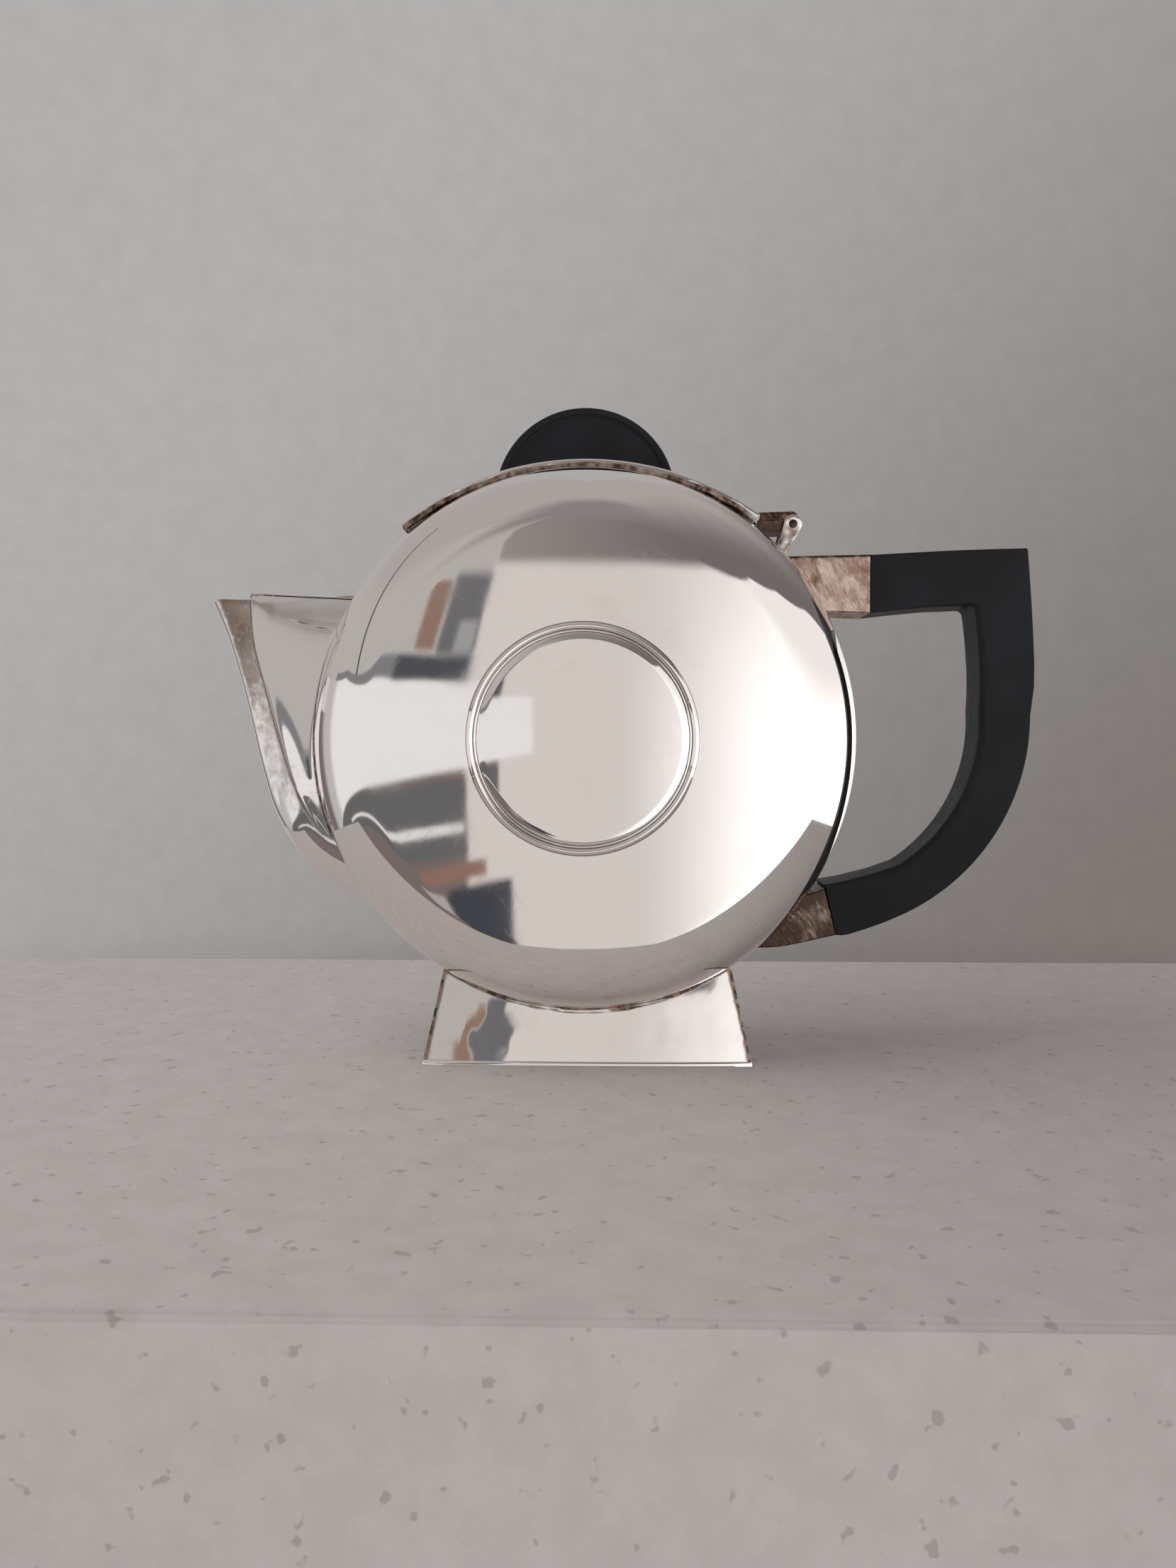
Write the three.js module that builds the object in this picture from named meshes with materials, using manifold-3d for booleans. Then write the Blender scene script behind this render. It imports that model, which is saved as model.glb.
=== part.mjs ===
// A disc-shaped silver teapot with a black grip and finial. Millimetres, +Z up.
// The origin is on the table, below the middle of the disc; +X points to the handle, -X to the
// spout, and the disc's axis runs along Y.
import * as THREE from 'three';
import { mergeVertices } from 'three/addons/utils/BufferGeometryUtils.js';
import Module from 'manifold-3d';

const wasm = await Module();
wasm.setup();

// ---- Driving dimensions -------------------------------------------------------------------

const GAP = 0.3;              // clearance between pieces that touch
const SHEET = 1.2;            // thickness of the silver sheet

const DISC_Z = 92.1;          // height of the disc's axis
const DISC_R = 77.1;          // radius of the shells' rolled edge
const ROLL_R = 19;            // radius of the rolled edge in section
const ROLL_Y = 11;            // the roll's centre, forward of the mid-plane
const FACE_TILT = 2.5;        // degrees by which the face slopes where the roll begins
const BAND_R = 77.1;
const BAND_HALF = 10.7;
const BAND_T = 1.4;
const DISC_STEPS = 48;

const BOSS_R = 31.7;
const BOSS_BEAD = 2.4;        // width of the boss's raised ring
const BOSS_RISE = 1.0;
const BOSS_DOME = 0.8;        // thickness of the boss at its centre
const BOSS_RECESS = 0.35;     // and beside its ring

const FOOT_HALF_X = 46.8;     // at the table
const FOOT_HALF_Y = 18.5;
const FOOT_SHIFT = 0.8;       // the foot is soldered on a little nearer to the handle
const FOOT_LEAN = 0.208;      // inward run per unit of height
const FOOT_HEIGHT = 30;       // before the disc is cut out of it
const BASE_T = 1.4;

const LID_R = 85.1;
const LID_TOP = 170.9;
const LID_T = 1.4;
const LID_EDGE = 2.6;         // depth of the lid's turned-down edge
const LID_HALF_Y = 15;
const LID_LEFT = -52.3;
const LID_RIGHT = 49.8;
const LID_ARC = [130, 50];    // degrees, wide enough for both ends of the lid
const NECK_HALF_X = 36;       // the opening in the band
const NECK_HALF_Y = 9.3;
const NECK_LOW = 132;         // a height between the band's top and its middle
const BEZEL_CLEAR_X = 1.8;    // space between the bezel and the neck
const BEZEL_CLEAR_Y = 1.3;
const BEZEL_DEPTH = 12;
const BEZEL_LOW_R = 72;       // the bezel's lower edge, about the disc's axis

const HINGE_X = 59.6;
const HINGE_Z = 153.8;
const PIN_R = 1.3;
const KNUCKLE_R = 2.45;
const KNUCKLE_HALF_Y = 5;
const LUG_TOP = 157.9;        // the block on the lid that the knuckle is part of
const LUG_LOW = 152.2;
const EAR_R = 2.6;
const EAR_T = 2;
const EAR_FOOT = [[55.2, 147.1], [57.6, 145]];

const FINIAL_R = 26.2;
const FINIAL_Z = 161.8;
const FINIAL_HALF_Y = 4.5;
const FINIAL_RIM = 2;
const FINIAL_DISH = 0.9;      // how far the disc's faces lie below its rim
const FINIAL_ROUND = 0.5;
const STUD_R = 1.5;
const STUD_LOW = 164.6;
const STUD_HIGH = 178;
const WASHER_R = 4;
const WASHER_T = 0.8;
const NUT_R = 3.1;
const NUT_HEIGHT = 2.4;

const GRIP_HALF_Y = 8;
const SOCKET_HALF_Y = 8.8;
const GRIP_TOP_X = 81.6;      // where the grip meets the upper socket
const GRIP_TOP_HIGH = 144.8;
const GRIP_TOP_LOW = 128.2;
const GRIP_CORNER = [126.2, 146.5];
const GRIP_OUTER_ARC = [65, 98.1, 62.4];    // centre and radius
const GRIP_INNER_ARC = [64.5, 97, 48.6];
const GRIP_LOW_END = [[72.2, 35.7], [69, 50.2]];
const TENON_HALF_Y = 7;
const TENON_INSET = 1.7;      // how far a tenon is smaller than its socket's outside
const TENON_LENGTH = 10;
const LOWER_TENON = 4.4;
const HANDLE_PIN_R = 1.25;
const UPPER_PIN = [76, 136.5];
const LOWER_PIN = [68.1, 43];
const SOCKET_STEP = 1;        // how far the grip stands above the lower socket

// The spout's outlines in the XZ plane, from the lip down.
const SPOUT_NOSE = [
  [-109.8, 132.6], [-104.6, 119.4], [-99.9, 102.3], [-95.7, 83.7], [-90.8, 68.6], [-80.1, 52.5],
  [-66.5, 44.2], [-54, 39],
];
const SPOUT_SEAM = [
  [-96.5, 132.2], [-95.4, 120], [-91.7, 106.2], [-87.2, 90.5], [-82.4, 77.3], [-73.8, 63.8],
  [-61, 56], [-50, 51],
];
const SPOUT_HALF_TOP = 9.5;   // half-width of the cheeks at the mouth
const SPOUT_HALF_LOW = 13;    // and at the body
const CHANNEL_ROWS = 14;
const CHANNEL_COLUMNS = 10;
const CHANNEL_TUCK = 1.6;     // how far the channel's edges run behind the cheeks
const CHEEK_ROWS = 5;
const CHEEK_FROM = 0.08;      // the share of the seam above the cheeks' first wall row
const CHEEK_REACH = 0.62;     // the share of the seam that the walls cover
const CHEEK_END = -62;        // inside the body
const HOOD_TOP = [[-96.4, 133.8], [-58, 131.9]];
const HOOD_FOLD = [[-95.8, 132.2], [-60, 120]];
const COVER_HALF = 8;
const COVER_T = 1;
const COVER_LIP = 0.6;        // how far the cover stands out past the cheeks
const STRAINER_ROWS = 5;
const STRAINER_R = 1.7;
const STRAINER_PITCH_Y = 5.5;
const STRAINER_PITCH = 8;     // degrees between rows about the disc's axis

// ---- Materials ----------------------------------------------------------------------------

const silver = () => new THREE.MeshStandardMaterial({ color: 0xd9d2cf, metalness: 1, roughness: 0.12 });
const tarnished = () => new THREE.MeshStandardMaterial({ color: 0x9a7f70, metalness: 1, roughness: 0.4 });
const ebonised = () => new THREE.MeshStandardMaterial({ color: 0x202326, metalness: 0, roughness: 0.5 });

// ---- Helpers ------------------------------------------------------------------------------

const root = new THREE.Group();

// Shared vertices joined and collapsed triangles dropped, so that the body is closed.
function weld(geometry) {
  const source = geometry.clone();
  source.deleteAttribute('normal');
  source.deleteAttribute('uv');
  const merged = mergeVertices(source, 1e-4);
  const index = merged.index.array;
  const kept = [];
  for (let i = 0; i < index.length; i += 3) {
    const [a, b, c] = [index[i], index[i + 1], index[i + 2]];
    if (a !== b && b !== c && c !== a) kept.push(a, b, c);
  }
  merged.setIndex(kept);
  if (signedVolume(merged) < 0) merged.setIndex(kept.reverse());
  return merged;
}

function signedVolume(geometry) {
  const at = geometry.attributes.position;
  const index = geometry.index.array;
  const [a, b, c] = [new THREE.Vector3(), new THREE.Vector3(), new THREE.Vector3()];
  let sum = 0;
  for (let i = 0; i < index.length; i += 3) {
    a.fromBufferAttribute(at, index[i]);
    b.fromBufferAttribute(at, index[i + 1]);
    c.fromBufferAttribute(at, index[i + 2]);
    sum += a.dot(b.cross(c)) / 6;
  }
  return sum;
}

function toSolid(geometry) {
  const closed = weld(geometry);
  const vertProperties = new Float32Array(closed.attributes.position.array);
  const triVerts = new Uint32Array(closed.index.array);
  return new wasm.Manifold(new wasm.Mesh({ numProp: 3, vertProperties, triVerts }));
}

function toGeometry(solid) {
  const mesh = solid.getMesh();
  const geometry = new THREE.BufferGeometry();
  geometry.setAttribute('position', new THREE.BufferAttribute(new Float32Array(mesh.vertProperties), 3));
  geometry.setIndex([...mesh.triVerts]);
  return geometry;
}

const cut = (geometry, ...tools) => toGeometry(
  tools.reduce((solid, tool) => solid.subtract(toSolid(tool)), toSolid(geometry)),
);
const join = (geometry, ...others) => toGeometry(
  others.reduce((solid, other) => solid.add(toSolid(other)), toSolid(geometry)),
);
const common = (geometry, other) => toGeometry(toSolid(geometry).intersect(toSolid(other)));

function place(name, geometry, material) {
  const closed = weld(geometry);
  const mesh = new THREE.Mesh(closed, material);
  closed.computeVertexNormals();
  mesh.name = name;
  root.add(mesh);
}

// A block of an XZ outline, between two Y values.
function prism(outline, low, high) {
  const shape = new THREE.Shape(outline.map(([x, z]) => new THREE.Vector2(x, z)));
  const geometry = new THREE.ExtrudeGeometry(shape, { depth: high - low, bevelEnabled: false });
  geometry.rotateX(Math.PI / 2);
  geometry.translate(0, high, 0);
  return geometry;
}

function box(lowX, highX, lowY, highY, lowZ, highZ) {
  const geometry = new THREE.BoxGeometry(highX - lowX, highY - lowY, highZ - lowZ);
  geometry.translate((lowX + highX) / 2, (lowY + highY) / 2, (lowZ + highZ) / 2);
  return geometry;
}

// A round bar along Y.
function bar(x, z, radius, halfLength, steps = 16) {
  const geometry = new THREE.CylinderGeometry(radius, radius, 2 * halfLength, steps);
  geometry.translate(x, 0, z);
  return geometry;
}

// A round bar along Z.
function post(radius, low, high, steps = 16) {
  const geometry = new THREE.CylinderGeometry(radius, radius, high - low, steps);
  geometry.rotateX(Math.PI / 2);
  geometry.translate(0, 0, (low + high) / 2);
  return geometry;
}

// A solid turned about a Y axis through the given height, from [radius, y] points.
function turned(points, z, steps) {
  const profile = points.map(([radius, y]) => new THREE.Vector2(radius, y));
  const geometry = new THREE.LatheGeometry(profile, steps);
  geometry.translate(0, 0, z);
  return geometry;
}

// A closed sheet between an outer and an inner grid of the same size.
function sheetBetween(outer, inner) {
  const rows = outer.length;
  const columns = outer[0].length;
  const points = [...outer.flat(), ...inner.flat()];
  const at = (side, row, column) => side * rows * columns + row * columns + column;
  const index = [];
  const quad = (a, b, c, d) => index.push(a, b, c, a, c, d);
  for (let row = 0; row + 1 < rows; row += 1) {
    for (let column = 0; column + 1 < columns; column += 1) {
      quad(at(0, row, column), at(0, row, column + 1), at(0, row + 1, column + 1), at(0, row + 1, column));
      quad(at(1, row, column), at(1, row + 1, column), at(1, row + 1, column + 1), at(1, row, column + 1));
    }
    const last = columns - 1;
    quad(at(0, row, 0), at(0, row + 1, 0), at(1, row + 1, 0), at(1, row, 0));
    quad(at(0, row, last), at(1, row, last), at(1, row + 1, last), at(0, row + 1, last));
  }
  for (let column = 0; column + 1 < columns; column += 1) {
    const last = rows - 1;
    quad(at(0, 0, column), at(1, 0, column), at(1, 0, column + 1), at(0, 0, column + 1));
    quad(at(0, last, column), at(0, last, column + 1), at(1, last, column + 1), at(1, last, column));
  }
  const geometry = new THREE.BufferGeometry();
  geometry.setAttribute('position', new THREE.Float32BufferAttribute(points.flatMap((p) => p.toArray()), 3));
  geometry.setIndex(index);
  return geometry;
}

const radians = THREE.MathUtils.degToRad;

// Points of an arc in XZ, from one angle to another, in degrees from +X towards +Z.
function arc(x, z, radius, from, to, steps) {
  const points = [];
  for (let i = 0; i <= steps; i += 1) {
    const angle = radians(from + ((to - from) * i) / steps);
    points.push([x + radius * Math.cos(angle), z + radius * Math.sin(angle)]);
  }
  return points;
}

// ---- Body: two pressed shells and a rim band ----------------------------------------------

const rollStart = DISC_R - ROLL_R + ROLL_R * Math.sin(radians(FACE_TILT));
const crown = (rollStart / 2) * Math.tan(radians(FACE_TILT));
const rollTop = ROLL_Y + ROLL_R * Math.cos(radians(FACE_TILT));

// Forward distance of the shell's outer face at a radius inside the roll.
const faceAt = (radius) => rollTop + crown * (1 - (radius / rollStart) ** 2);

// The section from the axis to the band, moved inward by the given depth.
function shellLine(depth, faceRadii, rollSteps) {
  const line = faceRadii.map((radius) => [radius, faceAt(radius) - depth]);
  for (let i = 0; i <= rollSteps; i += 1) {
    const angle = radians(FACE_TILT + ((90 - FACE_TILT) * i) / rollSteps);
    const radius = DISC_R - ROLL_R + (ROLL_R - depth) * Math.sin(angle);
    line.push([radius, ROLL_Y + (ROLL_R - depth) * Math.cos(angle)]);
  }
  return line;
}

function shell(side) {
  const outside = shellLine(0, [0, 22, 42], 6);
  const inside = shellLine(SHEET, [0, 34], 4).reverse();
  const section = [...outside, ...inside].map(([radius, y]) => [radius, side * y]);
  return turned(section, DISC_Z, DISC_STEPS);
}

// The outside of the whole body, grown by the gap: it trims what is soldered to the body.
function bodyTool(extra = GAP) {
  const half = shellLine(-extra, [0, 30], 8);
  const ring = [[BAND_R + extra, BAND_HALF + extra], [BAND_R + extra, -BAND_HALF - extra]];
  const back = half.map(([radius, y]) => [radius, -y]).reverse();
  return turned([...half, ...ring, ...back], DISC_Z, DISC_STEPS);
}

// Holes through the band behind the spout, which keep the leaves in the pot.
function strainerHoles() {
  const holes = [];
  const middle = (STRAINER_ROWS - 1) / 2;
  const length = 6 * BAND_T;
  for (let row = 0; row < STRAINER_ROWS; row += 1) {
    for (let column = -1; column <= 1; column += 1) {
      const hole = new THREE.CylinderGeometry(STRAINER_R, STRAINER_R, length, 8);
      hole.rotateZ(Math.PI / 2);
      hole.translate(-BAND_R, column * STRAINER_PITCH_Y, 0);
      hole.rotateY(radians(STRAINER_PITCH * (middle - row)));
      hole.translate(0, 0, DISC_Z);
      holes.push(hole);
    }
  }
  return holes;
}

function rimBand() {
  const inner = BAND_R - BAND_T;
  const section = [
    [inner, -BAND_HALF], [BAND_R, -BAND_HALF], [BAND_R, BAND_HALF], [inner, BAND_HALF], [inner, -BAND_HALF],
  ];
  const ring = turned(section, DISC_Z, DISC_STEPS);
  const neck = box(-NECK_HALF_X, NECK_HALF_X, -NECK_HALF_Y, NECK_HALF_Y, NECK_LOW, LID_TOP);
  return cut(ring, neck, ...strainerHoles());
}

function boss(side) {
  const ring = BOSS_R - BOSS_BEAD / 2;
  const shoulder = BOSS_BEAD / 3;
  const seat = (radius) => faceAt(radius) + GAP;
  const section = [
    [0, seat(0) + BOSS_DOME], [BOSS_R / 2, seat(BOSS_R / 2) + 0.9 * BOSS_DOME],
    [BOSS_R - BOSS_BEAD, seat(ring) + BOSS_RECESS],
    [ring - shoulder, seat(ring) + 0.9 * BOSS_RISE], [ring, seat(ring) + BOSS_RISE],
    [ring + shoulder, seat(ring) + 0.9 * BOSS_RISE], [BOSS_R, seat(BOSS_R) + 0.2 * BOSS_RISE],
    [BOSS_R, seat(BOSS_R)], [BOSS_R / 2, seat(BOSS_R / 2)], [0, seat(0)],
  ];
  return turned(section.map(([radius, y]) => [radius, side * y]), DISC_Z, DISC_STEPS);
}

place('body_front_shell', shell(-1), silver());
place('body_back_shell', shell(1), silver());
place('body_rim_band', rimBand(), silver());
place('front_boss', boss(-1), silver());
place('back_boss', boss(1), silver());

// ---- Foot: four leaning panels on a flat base ---------------------------------------------

// A rectangular block whose sides lean in, with its corners moved in by the given depth.
function frustum(depth, low, high) {
  const corner = (signX, signY, z) => new THREE.Vector3(
    FOOT_SHIFT + signX * (FOOT_HALF_X - depth - FOOT_LEAN * z),
    signY * (FOOT_HALF_Y - depth - FOOT_LEAN * z),
    z,
  );
  const loop = (z) => [corner(-1, -1, z), corner(1, -1, z), corner(1, 1, z), corner(-1, 1, z)];
  const points = [...loop(low), ...loop(high)];
  const index = [0, 2, 1, 0, 3, 2, 4, 5, 6, 4, 6, 7];
  for (let i = 0; i < 4; i += 1) {
    const next = (i + 1) % 4;
    index.push(i, next, next + 4, i, next + 4, i + 4);
  }
  const geometry = new THREE.BufferGeometry();
  geometry.setAttribute('position', new THREE.Float32BufferAttribute(points.flatMap((p) => p.toArray()), 3));
  geometry.setIndex(index);
  return geometry;
}

const skirt = cut(
  frustum(0, BASE_T + GAP, FOOT_HEIGHT),
  frustum(SHEET, BASE_T, FOOT_HEIGHT + 1),
  bodyTool(),
);

// The space around one side of the foot, between its two mitred corners. The side's middle is
// turned from -Y by the given number of quarter turns.
function footWedge(half, across, quarterTurns) {
  const reach = 4;
  const depth = 8;
  const mitre = GAP / Math.SQRT2;
  const outline = [
    [-half - reach + mitre, -across - reach], [half + reach - mitre, -across - reach],
    [half - depth - mitre, -across + depth], [-half + depth + mitre, -across + depth],
  ];
  const shape = new THREE.Shape(outline.map(([x, y]) => new THREE.Vector2(x, y)));
  const geometry = new THREE.ExtrudeGeometry(shape, { depth: FOOT_HEIGHT + 2, bevelEnabled: false });
  geometry.rotateZ(quarterTurns * Math.PI / 2);
  geometry.translate(FOOT_SHIFT, 0, 0);
  return geometry;
}

const longWedge = (quarterTurns) => footWedge(FOOT_HALF_X, FOOT_HALF_Y, quarterTurns);
const shortWedge = (quarterTurns) => footWedge(FOOT_HALF_Y, FOOT_HALF_X, quarterTurns);

place('foot_front_panel', common(skirt, longWedge(0)), silver());
place('foot_back_panel', common(skirt, longWedge(2)), silver());
place('foot_left_panel', common(skirt, shortWedge(3)), silver());
place('foot_right_panel', common(skirt, shortWedge(1)), silver());
place('foot_base_plate', frustum(0, 0, BASE_T), silver());

// ---- Spout: a U-shaped channel between two cheeks, with a cover ---------------------------

const curveThrough = (points) => new THREE.SplineCurve(points.map(([x, z]) => new THREE.Vector2(x, z)));
const nose = curveThrough(SPOUT_NOSE);
const seam = curveThrough(SPOUT_SEAM);

// Half-width of the cheeks at a height: narrow at the mouth, wide at the body.
function cheekHalf(z) {
  const low = SPOUT_SEAM[4][1];
  const high = SPOUT_SEAM[0][1];
  const share = THREE.MathUtils.clamp((high - z) / (high - low), 0, 1);
  return THREE.MathUtils.lerp(SPOUT_HALF_TOP, SPOUT_HALF_LOW, share);
}

// The channel's U sections, shrunk by the given depth. Its edges tuck in behind the cheeks.
function channelGrid(depth) {
  const rows = [];
  for (let i = 0; i <= CHANNEL_ROWS; i += 1) {
    const tip = nose.getPoint(i / CHANNEL_ROWS);
    const edge = seam.getPoint(i / CHANNEL_ROWS);
    const outward = tip.clone().sub(edge).normalize();
    const front = tip.clone().addScaledVector(outward, -depth);
    const rear = edge.clone().addScaledVector(outward, -CHANNEL_TUCK);
    const half = cheekHalf(edge.y) - SHEET - 2 * GAP - depth;
    const row = [];
    for (let j = 0; j <= CHANNEL_COLUMNS; j += 1) {
      const angle = radians(-90 + (180 * j) / CHANNEL_COLUMNS);
      const along = Math.cos(angle) ** 0.7;
      const point = rear.clone().lerp(front, along);
      row.push(new THREE.Vector3(point.x, half * Math.sin(angle), point.y));
    }
    rows.push(row);
  }
  return rows;
}

// One side of the hood: a bevel along the top, then a wall down the seam. Its front edge can be
// moved forward, to make the tool that clears room for it.
function cheekGrid(side, depth, forward = 0) {
  const across = ([x, z], half) => new THREE.Vector3(x, side * (half - depth), z);
  const row = (front, back, frontHalf, backHalf) => [
    across([front[0] - forward, front[1]], frontHalf), across(back, backHalf),
  ];
  const [topFront, topBack] = HOOD_TOP;
  const [foldFront, foldBack] = HOOD_FOLD;
  const rows = [
    row(topFront, topBack, COVER_HALF, COVER_HALF),
    row(foldFront, foldBack, cheekHalf(foldFront[1]), cheekHalf(foldBack[1])),
  ];
  for (let i = 1; i <= CHEEK_ROWS; i += 1) {
    const edge = seam.getPoint(CHEEK_FROM + (CHEEK_REACH * i) / CHEEK_ROWS);
    const half = cheekHalf(edge.y);
    rows.push(row([edge.x + GAP, edge.y], [CHEEK_END, edge.y - 1], half, half));
  }
  return rows;
}

const cheekRoom = [-1, 1].map((side) => sheetBetween(
  cheekGrid(side, -GAP, GAP),
  cheekGrid(side, SHEET + GAP, GAP),
));
const channel = sheetBetween(channelGrid(0), channelGrid(SHEET));
place('spout_channel', cut(channel, bodyTool(), ...cheekRoom), silver());

for (const [name, side] of [['spout_cheek_front', -1], ['spout_cheek_back', 1]]) {
  const cheek = sheetBetween(cheekGrid(side, 0), cheekGrid(side, SHEET));
  place(name, cut(cheek, bodyTool()), silver());
}

function cover() {
  const [[frontX, frontZ], [backX, backZ]] = HOOD_TOP;
  const lift = GAP;
  const outline = [
    [frontX, frontZ + lift], [backX, backZ + lift],
    [backX, backZ + lift + COVER_T], [frontX + COVER_T, frontZ + lift + COVER_T],
    [frontX - COVER_LIP, frontZ + lift + COVER_T / 2],
  ];
  return cut(prism(outline, -COVER_HALF, COVER_HALF), bodyTool());
}

place('spout_cover', cover(), silver());

// ---- Lid, hinge and finial ----------------------------------------------------------------

const lidZ = LID_TOP - LID_R;

// A block between two radii about the lid's centre, cut to length and width.
function lidBlock(innerR, outerR, lowX, highX, halfY) {
  const [from, to] = LID_ARC;
  const outline = [...arc(0, lidZ, outerR, from, to, 20), ...arc(0, lidZ, innerR, to, from, 20)];
  return common(prism(outline, -halfY, halfY), box(lowX, highX, -halfY, halfY, 0, LID_TOP + 5));
}

function lidPlate() {
  const whole = lidBlock(LID_R - LID_EDGE, LID_R, LID_LEFT, LID_RIGHT, LID_HALF_Y);
  const pocket = lidBlock(
    LID_R - 2 * LID_EDGE, LID_R - LID_T, LID_LEFT + SHEET, LID_RIGHT + SHEET, LID_HALF_Y - SHEET,
  );
  return cut(whole, pocket, bodyTool(), post(STUD_R + GAP, LID_TOP - 10, LID_TOP + 2));
}

// The flange under the lid that drops into the neck.
function lidBezel() {
  const halfX = NECK_HALF_X - BEZEL_CLEAR_X;
  const halfY = NECK_HALF_Y - BEZEL_CLEAR_Y;
  const top = LID_R - LID_T - GAP;
  const whole = lidBlock(top - BEZEL_DEPTH, top, -halfX, halfX, halfY);
  const hollow = lidBlock(top - 2 * BEZEL_DEPTH, LID_R, -halfX + SHEET, halfX - SHEET, halfY - SHEET);
  const width = 2 * halfY;
  const drum = [[0, -width], [BEZEL_LOW_R, -width], [BEZEL_LOW_R, width], [0, width]];
  return cut(whole, hollow, turned(drum, DISC_Z, DISC_STEPS));
}

function knuckle() {
  const start = LID_RIGHT + GAP;
  const lug = prism([
    [start, LUG_LOW], [HINGE_X, HINGE_Z - KNUCKLE_R], [HINGE_X + KNUCKLE_R / 4, LUG_TOP], [start, LUG_TOP],
  ], -KNUCKLE_HALF_Y, KNUCKLE_HALF_Y);
  const barrel = bar(HINGE_X, HINGE_Z, KNUCKLE_R, KNUCKLE_HALF_Y);
  return cut(join(lug, barrel), bar(HINGE_X, HINGE_Z, PIN_R + GAP, KNUCKLE_HALF_Y + 1), bodyTool());
}

// An ear that leans out from the band and holds one end of the pin.
function ear(side) {
  const near = KNUCKLE_HALF_Y + GAP;
  const [low, high] = side < 0 ? [-near - EAR_T, -near] : [near, near + EAR_T];
  const head = arc(HINGE_X, HINGE_Z, EAR_R, -25, 160, 10);
  const leg = prism([...head, ...EAR_FOOT], low, high);
  return cut(leg, bar(HINGE_X, HINGE_Z, PIN_R + GAP, 20), bodyTool());
}

place('lid_plate', lidPlate(), silver());
place('lid_bezel', lidBezel(), silver());
place('lid_knuckle', knuckle(), tarnished());
place('hinge_ear_front', ear(-1), silver());
place('hinge_ear_back', ear(1), silver());
place('hinge_pin', bar(HINGE_X, HINGE_Z, PIN_R, KNUCKLE_HALF_Y + EAR_T + 2 * GAP), tarnished());

function finial() {
  const inner = FINIAL_R - FINIAL_RIM;
  const half = FINIAL_HALF_Y;
  const front = [
    [0, FINIAL_DISH - half], [inner, FINIAL_DISH - half], [inner + FINIAL_ROUND, -half],
    [FINIAL_R - FINIAL_ROUND, -half], [FINIAL_R, FINIAL_ROUND - half],
  ];
  const back = front.map(([radius, y]) => [radius, -y]).reverse();
  const disc = turned([...front, ...back], FINIAL_Z, DISC_STEPS);
  const wide = 2 * FINIAL_R;
  const under = lidBlock(LID_R / 2, LID_R + GAP, -wide, wide, 2 * half);
  const below = box(-wide, wide, -2 * half, 2 * half, 0, STUD_LOW);
  return cut(disc, under, below, post(STUD_R + GAP, STUD_LOW - 1, STUD_HIGH + GAP));
}

place('finial', finial(), ebonised());
place('finial_stud', post(STUD_R, STUD_LOW, STUD_HIGH), silver());

// A flat ring around the stud, with a round or six-sided outside.
function collar(radius, low, high, steps) {
  return cut(post(radius, low, high, steps), post(STUD_R + GAP, low - 1, high + 1));
}

const washerHigh = LID_TOP - LID_T - 2 * GAP;
const nutHigh = washerHigh - WASHER_T - GAP;
place('finial_washer', collar(WASHER_R, washerHigh - WASHER_T, washerHigh, 20), silver());
place('finial_nut', collar(NUT_R, nutHigh - NUT_HEIGHT, nutHigh, 6), silver());

// ---- Handle: a D-shaped grip between two sockets ------------------------------------------

// The grip's outline: along the top, down the outside, round to the lower end and back inside.
function gripOutline() {
  return [
    [GRIP_TOP_X, GRIP_TOP_HIGH], [106, 146], GRIP_CORNER, [127.4, 131], [128.4, 114], [128.4, 107],
    ...arc(...GRIP_OUTER_ARC, 0.6, -65, 14), [81, 37.4], [76, 35.8],
    ...GRIP_LOW_END, [75, 51.5], [84, 53.7],
    ...arc(...GRIP_INNER_ARC, -57, 4, 12),
    [113.2, 111.9], [112.6, 120.4], [111.7, 129], [110.7, 130.4], [100, 130], [GRIP_TOP_X, GRIP_TOP_LOW],
  ];
}

const upperTenon = prism([
  [GRIP_TOP_X - TENON_LENGTH, GRIP_TOP_HIGH - TENON_INSET], [GRIP_TOP_X + 1, GRIP_TOP_HIGH - TENON_INSET],
  [GRIP_TOP_X + 1, GRIP_TOP_LOW + TENON_INSET], [GRIP_TOP_X - TENON_LENGTH, GRIP_TOP_LOW + TENON_INSET],
], -TENON_HALF_Y, TENON_HALF_Y);

// The lower tenon: a block that runs from the grip's end towards the body.
function lowerBlock(inset, start, end, halfY) {
  const [[lowX, lowZ], [highX, highZ]] = GRIP_LOW_END;
  const up = new THREE.Vector2(highX - lowX, highZ - lowZ);
  const height = up.length();
  up.normalize();
  const inward = new THREE.Vector2(-up.y, up.x);
  const corner = (along, rise) => [
    lowX + inward.x * along + up.x * rise, lowZ + inward.y * along + up.y * rise,
  ];
  return prism([
    corner(start, inset), corner(end, inset), corner(end, height - inset), corner(start, height - inset),
  ], -halfY, halfY);
}

const pinHoles = [UPPER_PIN, LOWER_PIN].map(([x, z]) => bar(x, z, HANDLE_PIN_R + GAP, 20, 12));
const grip = join(
  prism(gripOutline(), -GRIP_HALF_Y, GRIP_HALF_Y),
  upperTenon,
  lowerBlock(TENON_INSET, -1, LOWER_TENON, TENON_HALF_Y),
);
place('handle_grip', cut(grip, ...pinHoles), ebonised());

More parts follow.
